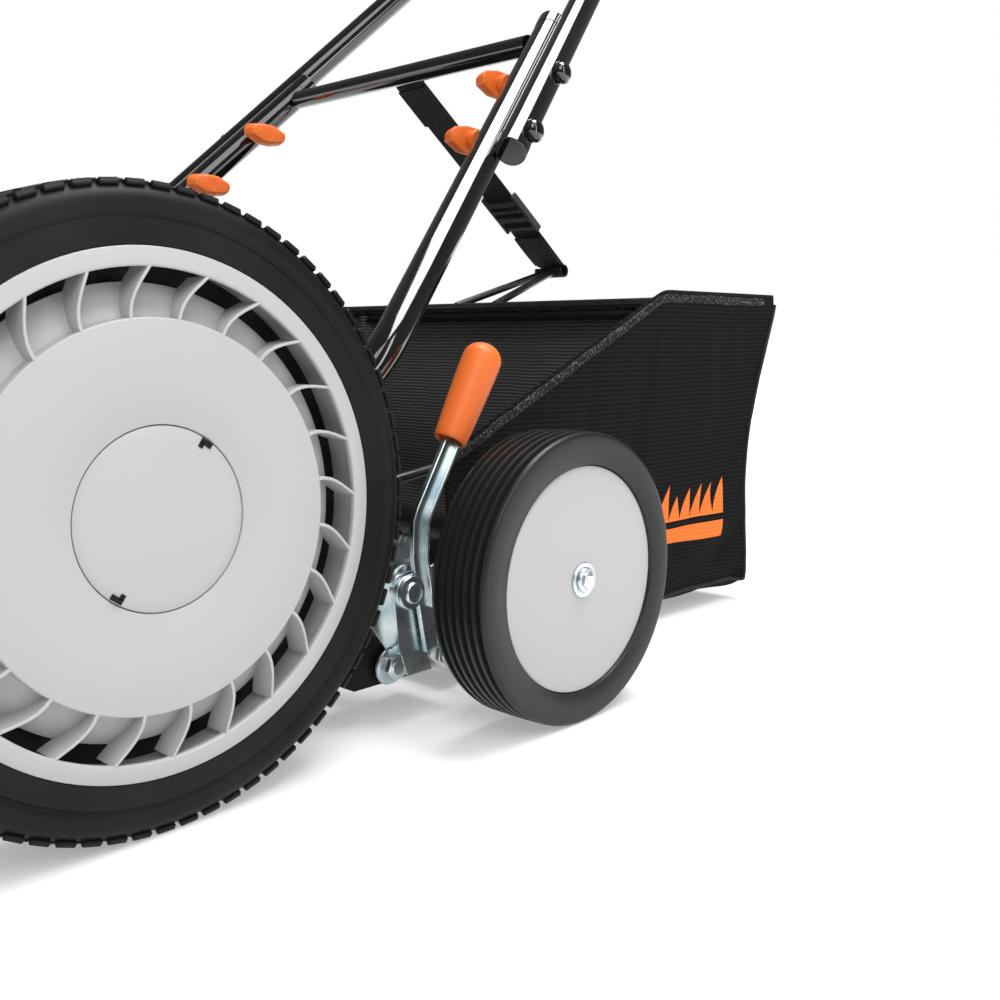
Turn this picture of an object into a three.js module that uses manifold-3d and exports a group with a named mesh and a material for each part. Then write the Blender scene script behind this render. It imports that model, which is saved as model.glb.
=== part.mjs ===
// Push reel mower with a rear grass catcher. Millimetres, +X to the operator's left,
// +Y to the rear, +Z up, ground at z = 0. The group is shifted so that its box is centred on X and Y.
import * as THREE from 'three';
import { mergeVertices } from 'three/addons/utils/BufferGeometryUtils.js';
import Module from 'manifold-3d';

const wasm = await Module();
wasm.setup();

// ---------- driving dimensions ----------
const GAP = 0.3;                 // clearance between pieces that touch or run on each other
const bendSteps = 5;             // cross-sections along each bend of a tube or wire

const wheelR = 127;              // front wheel over the tyre
const wheelWidth = 44;
const tyreClearance = 2.2;       // between the handle's tubes and the tyres
const rimR = 102.5;              // tyre seat
const rimWall = 3.5;
const ventOuterR = 94.9;         // vent ring between the disc and the rim
const ventInnerR = 76.5;
const vaneCount = 24;
const vaneThickness = 1.6;
const vaneSweep = 6.6;           // degrees from a vane's outer end to its inner end
const hubR = 16;
const capR = 36;
const capDome = 1.2;
const axleR = 8;

const gearModule = 2.5;
const ringTeeth = 54;
const pinionTeeth = 12;
const gearWidth = 17;
const backlash = 0.15;           // taken off each flank of the pinion's teeth
const gearRingR = 74.1;          // outside of the pressed-in gear ring
const gearMesh = -42.6;          // degrees, direction from the wheel axle to the reel shaft

const plateX = 204.5;            // outer face of the side plates
const plateThickness = 4;
const reelR = 70;
const bladeCount = 5;
const bladeDepth = 20;
const bladeThickness = 3;
const bladeTwist = 74;           // degrees of helix from end to end
const reelShaftR = 8;
const shaftOverhang = 5;         // reel shaft beyond the side plates
const spigotR = 5;               // the pinions' spigots plug into the ends of the shaft
const spigotLength = 18;
const knifeAngle = -58;          // where the bed knife meets the reel, degrees about the shaft
const knifeThickness = 3;
const knifeDepth = 30;

const rearWheelR = 75;
const rearWheelWidth = 37;
const rearFaceX = 311;
const rearDiscR = 58;
const rearAxle = [210.6, 75];    // y, z
const rearAxleR = 6;

const heightPivot = [150, 69];   // y, z
const heightPivotR = 5;
const leverX = 243;              // inner face of the height lever
const leverThickness = 3;
const leverBend = [157, 104];
const leverTip = [206, 187];
const gripLength = 57;
const gripTopR = 10.7;
const gripNeckR = 8.4;

const handlePivot = [80.3, 110]; // y, z
const handlePivotR = 5;
const tubeR = 9.5;
const tubeWall = 1.5;
const handleBendZ = 191;
const handleSlope = 1.044;       // rearward travel per unit of height
const handleToe = 0.3682;        // inward travel per unit of height above the bend
const lowerTubeTopZ = 408;
const crossbarZ = 393;
const lowerBoltZ = 318;
const upperBoltZ = 361;
const upperHandleStartZ = 306;
const waistZ = 616;
const shoulderZ = 880;
const shoulderX = 205;
const gripBarInset = 5;          // how far the tubes lean in from the shoulders to the grip bar
const gripBarZ = 952;
const foamHalfLength = 150;
const foamR = 15;
const boltR = 3;

const bagFrontY = 200;
const bagFloorZ = 16;
const bagFrontX = 224;           // outer face of the sides at the mouth
const bagRearX = 237;            // and at the rear corners
const bagTopZ = 229;
const bagRearY = 538;
const bagWaistY = 500;           // where the back is drawn in between its corners
const bagFootY = 517;
const bagDiagonalY = 398;        // where the side's top edge turns down to the mouth
const bagMouthZ = 133;
const bagWall = 3;
const wireR = 3;
const bailApex = [554, 255];     // y, z
const bailFootX = 22;
const bailFootY = 455;
const strapWidth = 30;
const strapThickness = 2;

// ---------- values that follow ----------
const DEG = Math.PI / 180;
const handleX = plateX + GAP + tubeR;      // centre of the tubes' parallel lower ends
const wheelInnerX = handleX + tubeR + tyreClearance;
const wheelFaceX = wheelInnerX + wheelWidth;
const frontAxle = [0, wheelR];
const meshDistance = gearModule * (ringTeeth - pinionTeeth) / 2;
const reelShaft = [
  frontAxle[0] + meshDistance * Math.cos(gearMesh * DEG),
  frontAxle[1] + meshDistance * Math.sin(gearMesh * DEG),
];
const plateInnerX = plateX - plateThickness;
const handleY = (z) => handlePivot[0] + (z - handlePivot[1]) * handleSlope;
const lowerTubeX = (z) => handleX - Math.max(0, z - handleBendZ) * handleToe;
const upperTubeX = (z) => lowerTubeX(z) + 2 * tubeR + 1.6;
const gripBarY = handleY(gripBarZ);
const gripBarX = shoulderX - gripBarInset;
const gripBend = gripBarX - foamHalfLength;      // the bends leave the foam's length straight
const yCentre = (gripBarY + foamR - wheelR) / 2;

// ---------- materials ----------
const paint = (color, roughness, metalness) => new THREE.MeshStandardMaterial({ color, roughness, metalness });
const silverPlastic = () => paint(0xd0d0d4, 0.45, 0);
const rubber = () => paint(0x262525, 0.8, 0);
const blackSteel = () => paint(0x101112, 0.35, 0.2);
const zinc = () => paint(0xb9bfc2, 0.35, 0.9);
const toolSteel = () => paint(0x8d9092, 0.4, 0.9);
const orangePlastic = () => paint(0xe4702f, 0.45, 0);
const blackFabric = () => paint(0x222324, 0.9, 0);
const blackNylon = () => paint(0x1c1c1d, 0.6, 0);
const foam = () => paint(0x1a1a1b, 0.95, 0);

// ---------- shared geometry ----------
function solid(geometry) {
  const bare = geometry.clone();
  bare.deleteAttribute('normal');
  bare.deleteAttribute('uv');
  const merged = mergeVertices(bare, 1e-4);
  return new wasm.Manifold(new wasm.Mesh({
    numProp: 3,
    vertProperties: new Float32Array(merged.attributes.position.array),
    triVerts: new Uint32Array(merged.index.array),
  }));
}

function geometryOf(manifold) {
  const mesh = manifold.getMesh();
  const geometry = new THREE.BufferGeometry();
  geometry.setAttribute('position', new THREE.BufferAttribute(new Float32Array(mesh.vertProperties), 3));
  geometry.setIndex(new THREE.BufferAttribute(new Uint32Array(mesh.triVerts), 1));
  geometry.computeVertexNormals();
  return geometry;
}

const join = (first, ...others) => geometryOf(others.reduce((sum, g) => sum.add(solid(g)), solid(first)));
const cut = (first, ...others) => geometryOf(others.reduce((rest, g) => rest.subtract(solid(g)), solid(first)));

// A flat outline of [y, z] points, given a thickness along X.
function plateOf(points, x0, x1) {
  const shape = new THREE.Shape(points.map(([y, z]) => new THREE.Vector2(y, z)));
  const geometry = new THREE.ExtrudeGeometry(shape, { depth: x1 - x0, bevelEnabled: false });
  const frame = new THREE.Matrix4().makeBasis(
    new THREE.Vector3(0, 1, 0), new THREE.Vector3(0, 0, 1), new THREE.Vector3(1, 0, 0));
  return geometry.applyMatrix4(frame).translate(x0, 0, 0);
}

// A closed [radius, x] profile turned about an axis along X through [y, z].
function turned(profile, [y, z], segments = 36) {
  const points = profile.map(([r, x]) => new THREE.Vector2(r, x));
  if (profile[0][0] > 0) points.push(points[0].clone());
  const geometry = new THREE.LatheGeometry(points, segments).rotateZ(-Math.PI / 2);
  const faces = geometry.index.array;
  const bare = new THREE.BufferGeometry();
  bare.setAttribute('position', geometry.attributes.position);
  bare.setIndex([...faces]);
  return outward(bare).translate(0, y, z);
}

// A lathe's faces point outwards only when its profile runs the right way round.
function outward(geometry) {
  const merged = mergeVertices(geometry, 1e-4);
  const p = merged.attributes.position;
  const index = merged.index.array;
  const [a, b, c] = [new THREE.Vector3(), new THREE.Vector3(), new THREE.Vector3()];
  const kept = [];
  let volume = 0;
  for (let i = 0; i < index.length; i += 3) {
    const [i0, i1, i2] = [index[i], index[i + 1], index[i + 2]];
    if (i0 === i1 || i1 === i2 || i2 === i0) continue;
    kept.push(i0, i1, i2);
    volume += a.fromBufferAttribute(p, i0).dot(b.fromBufferAttribute(p, i1).cross(c.fromBufferAttribute(p, i2)));
  }
  if (volume < 0) kept.reverse();
  merged.setIndex(kept);
  merged.computeVertexNormals();
  return merged;
}

const rod = (r, x0, x1, at, segments = 16) => turned([[0, x0], [r, x0], [r, x1], [0, x1]], at, segments);
const circle = ([y, z], r, count, phase = 0) => Array.from({ length: count }, (_, i) => {
  const angle = phase + i * 2 * Math.PI / count;
  return [y + r * Math.cos(angle), z + r * Math.sin(angle)];
});
const polar = ([y, z], r, degrees) => [y + r * Math.cos(degrees * DEG), z + r * Math.sin(degrees * DEG)];

// The belt around a set of circles [y, z, r]: the outline of a plate that carries them all.
function belt(circles, count = 20) {
  const points = circles.flatMap(([y, z, r]) => circle([y, z], r, count)).sort((p, q) => p[0] - q[0] || p[1] - q[1]);
  const turn = (o, p, q) => (p[0] - o[0]) * (q[1] - o[1]) - (p[1] - o[1]) * (q[0] - o[0]);
  const half = (list) => {
    const hull = [];
    for (const point of list) {
      while (hull.length > 1 && turn(hull.at(-2), hull.at(-1), point) <= 1e-6) hull.pop();
      hull.push(point);
    }
    return hull.slice(0, -1);
  };
  return [...half(points), ...half([...points].reverse())];
}

// A straight-sided route through the points, with its corners rounded.
// A path of straight runs and bends. Its cross-sections stand at both ends of every run
// and divide every bend evenly.
class BentPath extends THREE.CurvePath {
  stepsOf(curve) {
    return curve.isLineCurve3 ? 1 : bendSteps;
  }

  get steps() {
    return this.curves.reduce((sum, curve) => sum + this.stepsOf(curve), 0);
  }

  locate(t) {
    let left = t * this.steps;
    for (const curve of this.curves) {
      const count = this.stepsOf(curve);
      if (left <= count + 1e-6) return [curve, Math.min(left / count, 1)];
      left -= count;
    }
    return [this.curves.at(-1), 1];
  }

  getPoint(t) {
    const [curve, along] = this.locate(t);
    return curve.getPoint(along);
  }

  getPointAt(t) {
    return this.getPoint(t);
  }

  getTangentAt(t) {
    const [curve, along] = this.locate(t);
    return curve.getTangent(along);
  }
}
function route(points, cornerLength) {
  const path = new BentPath();
  const at = points.map((p) => new THREE.Vector3(...p));
  let start = at[0];
  for (let i = 1; i < at.length - 1; i += 1) {
    const before = at[i].clone().add(at[i - 1].clone().sub(at[i]).setLength(cornerLength));
    const after = at[i].clone().add(at[i + 1].clone().sub(at[i]).setLength(cornerLength));
    path.add(new THREE.LineCurve3(start, before));
    path.add(new THREE.QuadraticBezierCurve3(before, at[i], after));
    start = after;
  }
  path.add(new THREE.LineCurve3(start, at.at(-1)));
  return path;
}
function swept(path, r, sides = 8, wall = 0) {
  const round = (radius) => circle([0, 0], radius, sides).map(([x, y]) => new THREE.Vector2(x, y));
  const shape = new THREE.Shape(round(r));
  if (wall > 0) shape.holes.push(new THREE.Path(round(r - wall).reverse()));
  return new THREE.ExtrudeGeometry(shape, { extrudePath: path, steps: path.steps, bevelEnabled: false });
}

function mirrored(geometry) {
  const copy = mergeVertices(bareOf(geometry), 1e-4);
  copy.scale(-1, 1, 1);
  copy.setIndex([...copy.index.array].reverse());
  copy.computeVertexNormals();
  return copy;
}

function bareOf(geometry) {
  const bare = geometry.clone();
  bare.deleteAttribute('normal');
  bare.deleteAttribute('uv');
  return bare;
}

const mower = new THREE.Group();
mower.position.y = -yCentre;

function add(name, geometry, material) {
  const mesh = new THREE.Mesh(geometry, material);
  mesh.name = name;
  mower.add(mesh);
}

function addPair(name, geometry, material) {
  add(`left_${name}`, geometry, material());
  add(`right_${name}`, mirrored(geometry), material());
}

// ---------- side plates: they carry the axles, the reel bearings and the handle ----------
const bearingR = reelShaftR + 6;
const stopAt = [
  handlePivot[0] + (60 * handleSlope + tubeR + GAP + 5) / Math.hypot(1, handleSlope),
  handlePivot[1] + (60 - (tubeR + GAP + 5) * handleSlope) / Math.hypot(1, handleSlope),
];
const knifeFront = polar(reelShaft, reelR + 0.6, knifeAngle);
const bedBar = { y0: knifeFront[0] + 24, y1: knifeFront[0] + 42, z0: knifeFront[1] + GAP, z1: knifeFront[1] + 18 };
const frontTie = [20, 175];
const tieR = 8;
const rearTie = [160, 60];
const block = { y0: 124, y1: 186, z0: 20, z1: 90, x1: 232, wall: 4 };
const plateOutline = belt([
  [...frontAxle, 26], [...frontTie, 14], [...handlePivot, 20], [...stopAt, 9], [...reelShaft, 24],
  [block.y1 - 6, block.z1 - 6, 6], [block.y1 - 6, block.z0 + 6, 6], [knifeFront[0] - 6, block.z0 + 10, 10],
]);
const blockOutline = (inset) => [
  [block.y0 + inset, block.z0 + inset], [block.y1 - inset, block.z0 + inset],
  [block.y1 - inset, block.z1 - inset], [block.y0 + inset, block.z1 - inset],
];
const sidePlate = geometryOf(
  solid(plateOf(plateOutline, plateInnerX, plateX))
    .add(solid(rod(20, plateX - 1, wheelInnerX - 2, frontAxle, 20)))
    .add(solid(rod(5, plateX - 1, plateX + 2 * tubeR - 2, stopAt, 10)))
    .add(solid(plateOf(blockOutline(0), plateX - 1, block.x1)))
    .subtract(solid(plateOf(blockOutline(block.wall), plateInnerX - 1, block.x1 - block.wall)))
    .subtract(solid(rod(axleR + GAP, plateInnerX - 1, wheelFaceX, frontAxle)))
    .subtract(solid(rod(handlePivotR + GAP, plateInnerX - 1, wheelFaceX, handlePivot, 12)))
    .subtract(solid(rod(bearingR + GAP, plateInnerX - 1, wheelFaceX, reelShaft, 20))));
addPair('side_plate', sidePlate, blackSteel);

const span = plateInnerX - GAP;
add('front_tie_rod', rod(tieR, -span, span, frontTie), blackSteel());
add('rear_tie_rod', rod(tieR + 2, -span, span, rearTie), blackSteel());
add('bed_bar', plateOf([[bedBar.y0, bedBar.z0], [bedBar.y1, bedBar.z0], [bedBar.y1, bedBar.z1],
  [bedBar.y1 - 5, bedBar.z1], [bedBar.y1 - 5, bedBar.z0 + 5], [bedBar.y0, bedBar.z0 + 5]], -span, span), blackSteel());
add('bed_knife', plateOf([[knifeFront[0], knifeFront[1]], [knifeFront[0] + 4, knifeFront[1] - knifeThickness],
  [knifeFront[0] + knifeDepth, knifeFront[1] - knifeThickness], [knifeFront[0] + knifeDepth, knifeFront[1]]],
-span, span), toolSteel());

// ---------- front axles, handle pivots and reel bearings ----------
const capSeatX = wheelFaceX - 8;
addPair('front_axle', turned([[0, plateInnerX - 4 - GAP], [12, plateInnerX - 4 - GAP], [12, plateInnerX - GAP],
  [axleR, plateInnerX - GAP], [axleR, capSeatX + GAP], [13, capSeatX + GAP], [13, capSeatX + 3], [0, capSeatX + 3]],
frontAxle, 16), zinc);
addPair('reel_bearing', turned([[reelShaftR + GAP, plateInnerX], [bearingR, plateInnerX], [bearingR, plateX + GAP],
  [bearingR + 4, plateX + GAP], [bearingR + 4, plateX + 4], [reelShaftR + GAP, plateX + 4]], reelShaft, 20), toolSteel);
const tubeOuterX = handleX + tubeR;
addPair('handle_pivot_bolt', turned([[0, plateInnerX - 5 - GAP], [9, plateInnerX - 5 - GAP], [9, plateInnerX - GAP],
  [handlePivotR, plateInnerX - GAP], [handlePivotR, tubeOuterX + GAP], [8, tubeOuterX + GAP],
  [8, tubeOuterX + 1.8], [0, tubeOuterX + 1.8]], handlePivot, 12), zinc);

// ---------- front wheels ----------
const hubInnerX = wheelInnerX + 3.5;
const drumInnerR = gearRingR + GAP;
const discProfile = [
  [axleR + GAP, hubInnerX], [hubR, hubInnerX], [hubR, capSeatX - 3], [capR + GAP + 3, capSeatX - 3],
  [capR + GAP + 3, wheelFaceX - 3], [drumInnerR, wheelFaceX - 3], [drumInnerR, hubInnerX],
  [ventInnerR, hubInnerX], [ventInnerR, wheelFaceX],
  [capR + GAP, wheelFaceX], [capR + GAP, capSeatX], [axleR + GAP, capSeatX],
];
const rimProfile = [
  [ventOuterR, wheelFaceX], [rimR, wheelFaceX], [rimR, wheelInnerX + 2], [rimR - rimWall, wheelInnerX + 2],
  [rimR - rimWall, wheelFaceX - 8], [ventOuterR, wheelFaceX - 8],
];
// A vane leaves the rim at a slant and turns straight towards the hub.
function vaneOutline(degrees) {
  const stations = [0, 0.45, 1];
  const edge = (side) => stations.map((t) => {
    const r = ventOuterR + 1 - t * (ventOuterR - ventInnerR + 1.6);
    const middle = degrees + vaneSweep * Math.sin(t * Math.PI / 2);
    return polar(frontAxle, r, middle + side * (vaneThickness / 2 / r) / DEG);
  });
  return [...edge(1), ...edge(-1).reverse()];
}
let wheel = solid(turned(discProfile, frontAxle)).add(solid(turned(rimProfile, frontAxle)));
for (let i = 0; i < vaneCount; i += 1) {
  wheel = wheel.add(solid(plateOf(vaneOutline(i * 360 / vaneCount), wheelFaceX - 14, wheelFaceX)));
}
addPair('wheel', geometryOf(wheel), silverPlastic);

const tyreSeat = rimR + GAP;
addPair('tyre', turned([
  [tyreSeat, wheelInnerX + 1], [tyreSeat, wheelFaceX - 0.5], [rimR + 9.5, wheelFaceX - 0.5],
  [rimR + 12, wheelFaceX - 2], [wheelR - 8, wheelFaceX], [wheelR - 2, wheelFaceX - 4], [wheelR, wheelFaceX - 9],
  [wheelR, wheelInnerX + 9], [wheelR - 2, wheelInnerX + 4], [wheelR - 8, wheelInnerX],
], frontAxle), rubber);

addPair('hub_cap', turned([
  [0, wheelFaceX + capDome], [capR * 0.6, wheelFaceX + capDome * 0.7],
  [capR, wheelFaceX - 0.3], [capR, capSeatX + GAP], [capR - 2.5, capSeatX + GAP], [capR - 2.5, wheelFaceX - 2.6],
  [0, wheelFaceX - 1.6],
], frontAxle), silverPlastic);

// ---------- drive: a gear ring in each wheel turns a pinion on the reel shaft ----------
// Four points a tooth: two on the root circle and two on the tip circle.
function toothedOutline(centre, teeth, tipR, rootR, toothCentre, thinning = 0) {
  const pitch = 360 / teeth;
  const root = pitch * 0.31 - thinning;
  const tip = pitch * 0.13 - thinning;
  const points = [];
  for (let i = 0; i < teeth; i += 1) {
    const at = toothCentre + i * pitch;
    points.push(polar(centre, rootR, at - root), polar(centre, tipR, at - tip));
    points.push(polar(centre, tipR, at + tip), polar(centre, rootR, at + root));
  }
  return points;
}
const ringPitchR = gearModule * ringTeeth / 2;
const pinionPitchR = gearModule * pinionTeeth / 2;
const gearX0 = hubInnerX + 0.5;
const gearBlank = turned([[ringPitchR - 5, gearX0], [gearRingR, gearX0], [gearRingR, gearX0 + gearWidth],
  [ringPitchR - 5, gearX0 + gearWidth]], frontAxle);
const ringSpace = toothedOutline(frontAxle, ringTeeth, ringPitchR + gearModule * 1.1, ringPitchR - gearModule * 0.8,
  gearMesh);
addPair('gear_ring', cut(gearBlank, plateOf(ringSpace, gearX0 - 1, gearX0 + gearWidth + 1)), blackNylon);
const pinionOutline = toothedOutline(reelShaft, pinionTeeth, pinionPitchR + gearModule * 0.8,
  pinionPitchR - gearModule * 1.1, gearMesh, backlash / pinionPitchR / DEG);
const shaftEnd = plateX + shaftOverhang;
addPair('pinion', join(plateOf(pinionOutline, gearX0 + 0.5, gearX0 + gearWidth - 0.5),
  rod(reelShaftR, shaftEnd + GAP, gearX0 + 1, reelShaft, 16),
  rod(spigotR, shaftEnd - spigotLength, shaftEnd + 1, reelShaft, 16)), toolSteel);

// ---------- reel: a shaft with five spiders and five helical blades ----------
const bladeHalf = plateInnerX - 9;
const bladeInnerR = reelR - bladeDepth;
const helix = (x) => x / bladeHalf * bladeTwist / 2;
let reelCore = solid(rod(reelShaftR, -shaftEnd, shaftEnd, reelShaft));
for (const side of [1, -1]) {
  const ends = [side * (shaftEnd - spigotLength - GAP), side * (shaftEnd + 1)].sort((a, b) => a - b);
  reelCore = reelCore.subtract(solid(rod(spigotR + GAP, ...ends, reelShaft, 16)));
}
for (let i = -2; i <= 2; i += 1) {
  const x = i * bladeHalf * 0.47;
  const spider = [];
  for (let arm = 0; arm < bladeCount; arm += 1) {
    const at = helix(x) + arm * 360 / bladeCount;
    spider.push(polar(reelShaft, bladeInnerR - GAP, at - 8), polar(reelShaft, bladeInnerR - GAP, at + 8));
    spider.push(polar(reelShaft, reelShaftR + 8, at + 180 / bladeCount));
  }
  reelCore = reelCore.add(solid(plateOf(spider, x - 1.5, x + 1.5)));
}
add('reel_shaft_and_spiders', geometryOf(reelCore), blackSteel());

for (let i = 0; i < bladeCount; i += 1) {
  const blade = new THREE.BoxGeometry(2 * bladeHalf, bladeThickness, bladeDepth, 16, 1, 1);
  const p = blade.attributes.position;
  for (let v = 0; v < p.count; v += 1) {
    const angle = (helix(p.getX(v)) + i * 360 / bladeCount) * DEG;
    const radial = (bladeInnerR + reelR - 0.5) / 2 + p.getZ(v) * 0.97;
    const lean = p.getY(v);
    p.setXYZ(v, p.getX(v), reelShaft[0] + radial * Math.cos(angle) + lean * Math.sin(angle),
      reelShaft[1] + radial * Math.sin(angle) - lean * Math.cos(angle));
  }
  add(`reel_blade_${i + 1}`, geometryOf(solid(outward(bareOf(blade)))), toolSteel());
}

// ---------- height adjusters: a bracket, a notched lever and the rear wheel on it ----------
const bracketX = block.x1 + GAP;
const bracketSheet = 2.5;
const quadrant = [];
for (let step = 0; step <= 8; step += 1) {
  const at = 52 + step * 7;
  quadrant.push(polar(heightPivot, 28, at), polar(heightPivot, 28, at + 4), polar(heightPivot, 25, at + 5));
}
const bracketOutline = [[heightPivot[0] - 20, block.z0 + 4], [heightPivot[0] + 30, block.z0 + 4],
  [heightPivot[0] + 33, block.z0 + 18], [heightPivot[0] + 17, heightPivot[1] + 2], ...quadrant,
  [heightPivot[0] - 22, heightPivot[1]], [heightPivot[0] - 25, heightPivot[1] - 25]];
const leverOuterX = leverX + leverThickness;
const pivotStud = turned([[0, bracketX + 1], [8, bracketX + 1], [8, leverX - GAP], [heightPivotR, leverX - GAP],
  [heightPivotR, leverOuterX + GAP], [9, leverOuterX + GAP], [9, leverOuterX + 4], [0, leverOuterX + 4]],
heightPivot, 12);
addPair('height_bracket', join(plateOf(bracketOutline, bracketX, bracketX + bracketSheet), pivotStud), zinc);

// A bar of constant width through [y, z] points.
function barOutline(points, width) {
  const side = (sign) => points.map((point, i) => {
    const from = points[Math.max(0, i - 1)];
    const to = points[Math.min(points.length - 1, i + 1)];
    const length = Math.hypot(to[0] - from[0], to[1] - from[1]);
    return [point[0] - sign * (to[1] - from[1]) / length * width / 2,
      point[1] + sign * (to[0] - from[0]) / length * width / 2];
  });
  return [...side(-1), ...side(1).reverse()];
}
const leverWidth = 13;
const leverBody = join(plateOf(barOutline([heightPivot, leverBend, leverTip], leverWidth), leverX, leverOuterX),
  plateOf(belt([[...heightPivot, 13], [...rearAxle, 13]], 16), leverX, leverOuterX));
addPair('height_lever', cut(leverBody,
  rod(heightPivotR + GAP, leverX - 1, leverOuterX + 1, heightPivot, 12),
  rod(rearAxleR + GAP, leverX - 1, leverOuterX + 1, rearAxle, 12)), zinc);

// The lever grip is a tapered round body with a domed end and a slot for the lever.
const tipLength = Math.hypot(leverTip[0] - leverBend[0], leverTip[1] - leverBend[1]);
const gripAxis = [(leverTip[0] - leverBend[0]) / tipLength, (leverTip[1] - leverBend[1]) / tipLength];
const gripBody = new THREE.LatheGeometry([[0, 0], [gripNeckR, 0], [gripNeckR + 0.6, 8], [gripTopR, gripLength - 12],
  [gripTopR * 0.93, gripLength - 6], [gripTopR * 0.6, gripLength - 1], [0, gripLength]]
  .map(([r, y]) => new THREE.Vector2(r, y)), 16);
const gripPlace = new THREE.Matrix4().makeBasis(
  new THREE.Vector3(1, 0, 0), new THREE.Vector3(0, ...gripAxis), new THREE.Vector3(0, -gripAxis[1], gripAxis[0]));
const gripStart = leverTip.map((value, i) => value - gripAxis[i] * (gripLength - 6));
gripBody.applyMatrix4(gripPlace).translate((leverX + leverOuterX) / 2, ...gripStart);
const gripSlot = plateOf(barOutline([leverBend, leverTip.map((v, i) => v + gripAxis[i] * GAP)],
  leverWidth + 2 * GAP), leverX - GAP, leverOuterX + GAP);
addPair('lever_grip', cut(outward(bareOf(gripBody)), gripSlot), orangePlastic);

// ---------- rear wheels ----------
const rearInnerX = rearFaceX - rearWheelWidth;
addPair('rear_axle', turned([[0, leverX - 4 - GAP], [10, leverX - 4 - GAP], [10, leverX - GAP],
  [rearAxleR, leverX - GAP], [rearAxleR, rearFaceX - 2 + GAP], [9, rearFaceX - 2 + GAP], [9, rearFaceX],
  [6.5, rearFaceX], [6.5, rearFaceX + 3], [0, rearFaceX + 3]], rearAxle, 16), zinc);
addPair('rear_wheel', turned([
  [rearAxleR + GAP, leverOuterX + 2], [13, leverOuterX + 2], [13, rearFaceX - 5], [rearDiscR - 4, rearFaceX - 5],
  [rearDiscR - 4, rearInnerX + 3], [rearDiscR - GAP, rearInnerX + 3], [rearDiscR - GAP, rearFaceX - 2],
  [rearAxleR + GAP, rearFaceX - 2],
], rearAxle, 28), silverPlastic);
addPair('rear_tyre', turned([
  [rearDiscR, rearInnerX + 2], [rearDiscR, rearFaceX - 1], [rearWheelR - 5, rearFaceX - 1],
  [rearWheelR - 1.5, rearFaceX - 3.5], [rearWheelR, rearFaceX - 8], [rearWheelR, rearInnerX + 7],
  [rearWheelR - 1.5, rearInnerX + 2.5], [rearWheelR - 6, rearInnerX],
], rearAxle, 32), rubber);

// ---------- handle ----------
const alongTube = 1 / Math.hypot(1, handleSlope);
const tubeEndZ = handlePivot[1] - 14 * alongTube;
const boltHole = (x0, x1, z, r = boltR) => rod(r + GAP, x0, x1, [handleY(z), z], 10);
const lowerTube = swept(route([
  [handleX, handleY(tubeEndZ), tubeEndZ], [handleX, handleY(handleBendZ), handleBendZ],
  [lowerTubeX(lowerTubeTopZ), handleY(lowerTubeTopZ), lowerTubeTopZ]], 24), tubeR, 8, tubeWall);
addPair('lower_handle_tube', cut(lowerTube,
  rod(handlePivotR + GAP, plateX, tubeOuterX + 1, handlePivot, 12),
  boltHole(lowerTubeX(lowerBoltZ) - 20, lowerTubeX(lowerBoltZ) + 20, lowerBoltZ),
  boltHole(lowerTubeX(upperBoltZ) - 20, lowerTubeX(upperBoltZ) + 20, upperBoltZ)), blackSteel);

const half = (side) => [
  [side * upperTubeX(upperHandleStartZ), handleY(upperHandleStartZ), upperHandleStartZ],
  [side * upperTubeX(waistZ), handleY(waistZ), waistZ],
  [side * shoulderX, handleY(shoulderZ), shoulderZ],
  [side * gripBarX, gripBarY, gripBarZ],
];
let upperHandle = solid(swept(route([...half(1), ...half(-1).reverse()], gripBend), tubeR, 8, tubeWall));
for (const z of [lowerBoltZ, upperBoltZ]) {
  for (const side of [1, -1]) {
    const middle = side * upperTubeX(z);
    upperHandle = upperHandle.subtract(solid(boltHole(middle - 16, middle + 16, z)));
  }
}
add('upper_handle', geometryOf(upperHandle), blackSteel());

const inset = (tubeR + 2.2) * Math.hypot(1, handleToe);
const crossHalf = lowerTubeX(crossbarZ) - inset;
add('handle_crossbar', rod(7, -crossHalf, crossHalf, [handleY(crossbarZ), crossbarZ], 10), blackSteel());
add('foam_grip', turned([[tubeR + GAP, -foamHalfLength], [foamR, -foamHalfLength], [foamR, foamHalfLength],
  [tubeR + GAP, foamHalfLength]], [gripBarY, gripBarZ], 16), foam());

// Carriage bolts clamp the two tubes, each with a winged knob on its inner end.
const knobDepth = 15;
const knobBossR = 6;
const headR = 6.5;
const tubeSide = tubeR * Math.hypot(1, handleToe) + 0.6;
const knobOutline = (centre) => [1, -1].flatMap((side) => [
  [centre[0] - 6 * side, centre[1] - 8 * side], [centre[0] + 5 * side, centre[1] - 9 * side],
  [centre[0] + 19 * side, centre[1] - 5 * side], [centre[0] + 19 * side, centre[1] + 4 * side],
]);
[['lower', lowerBoltZ], ['upper', upperBoltZ]].forEach(([level, z]) => {
  const at = [handleY(z), z];
  const knobX = lowerTubeX(z) - tubeSide - knobBossR * handleToe;
  const headX = upperTubeX(z) + tubeSide + headR * handleToe;
  addPair(`${level}_clamp_bolt`, turned([[0, knobX - knobDepth + 4], [boltR, knobX - knobDepth + 4], [boltR, headX],
    [headR, headX], [headR - 2, headX + 3], [0, headX + 3.5]], at, 10), blackSteel);
  addPair(`${level}_wing_knob`, cut(
    join(plateOf(knobOutline(at), knobX - knobDepth, knobX - 5), rod(knobBossR, knobX - 6, knobX, at, 12)),
    rod(boltR + GAP, knobX - knobDepth + 3, knobX + 1, at, 10)), orangePlastic);
});

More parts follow.
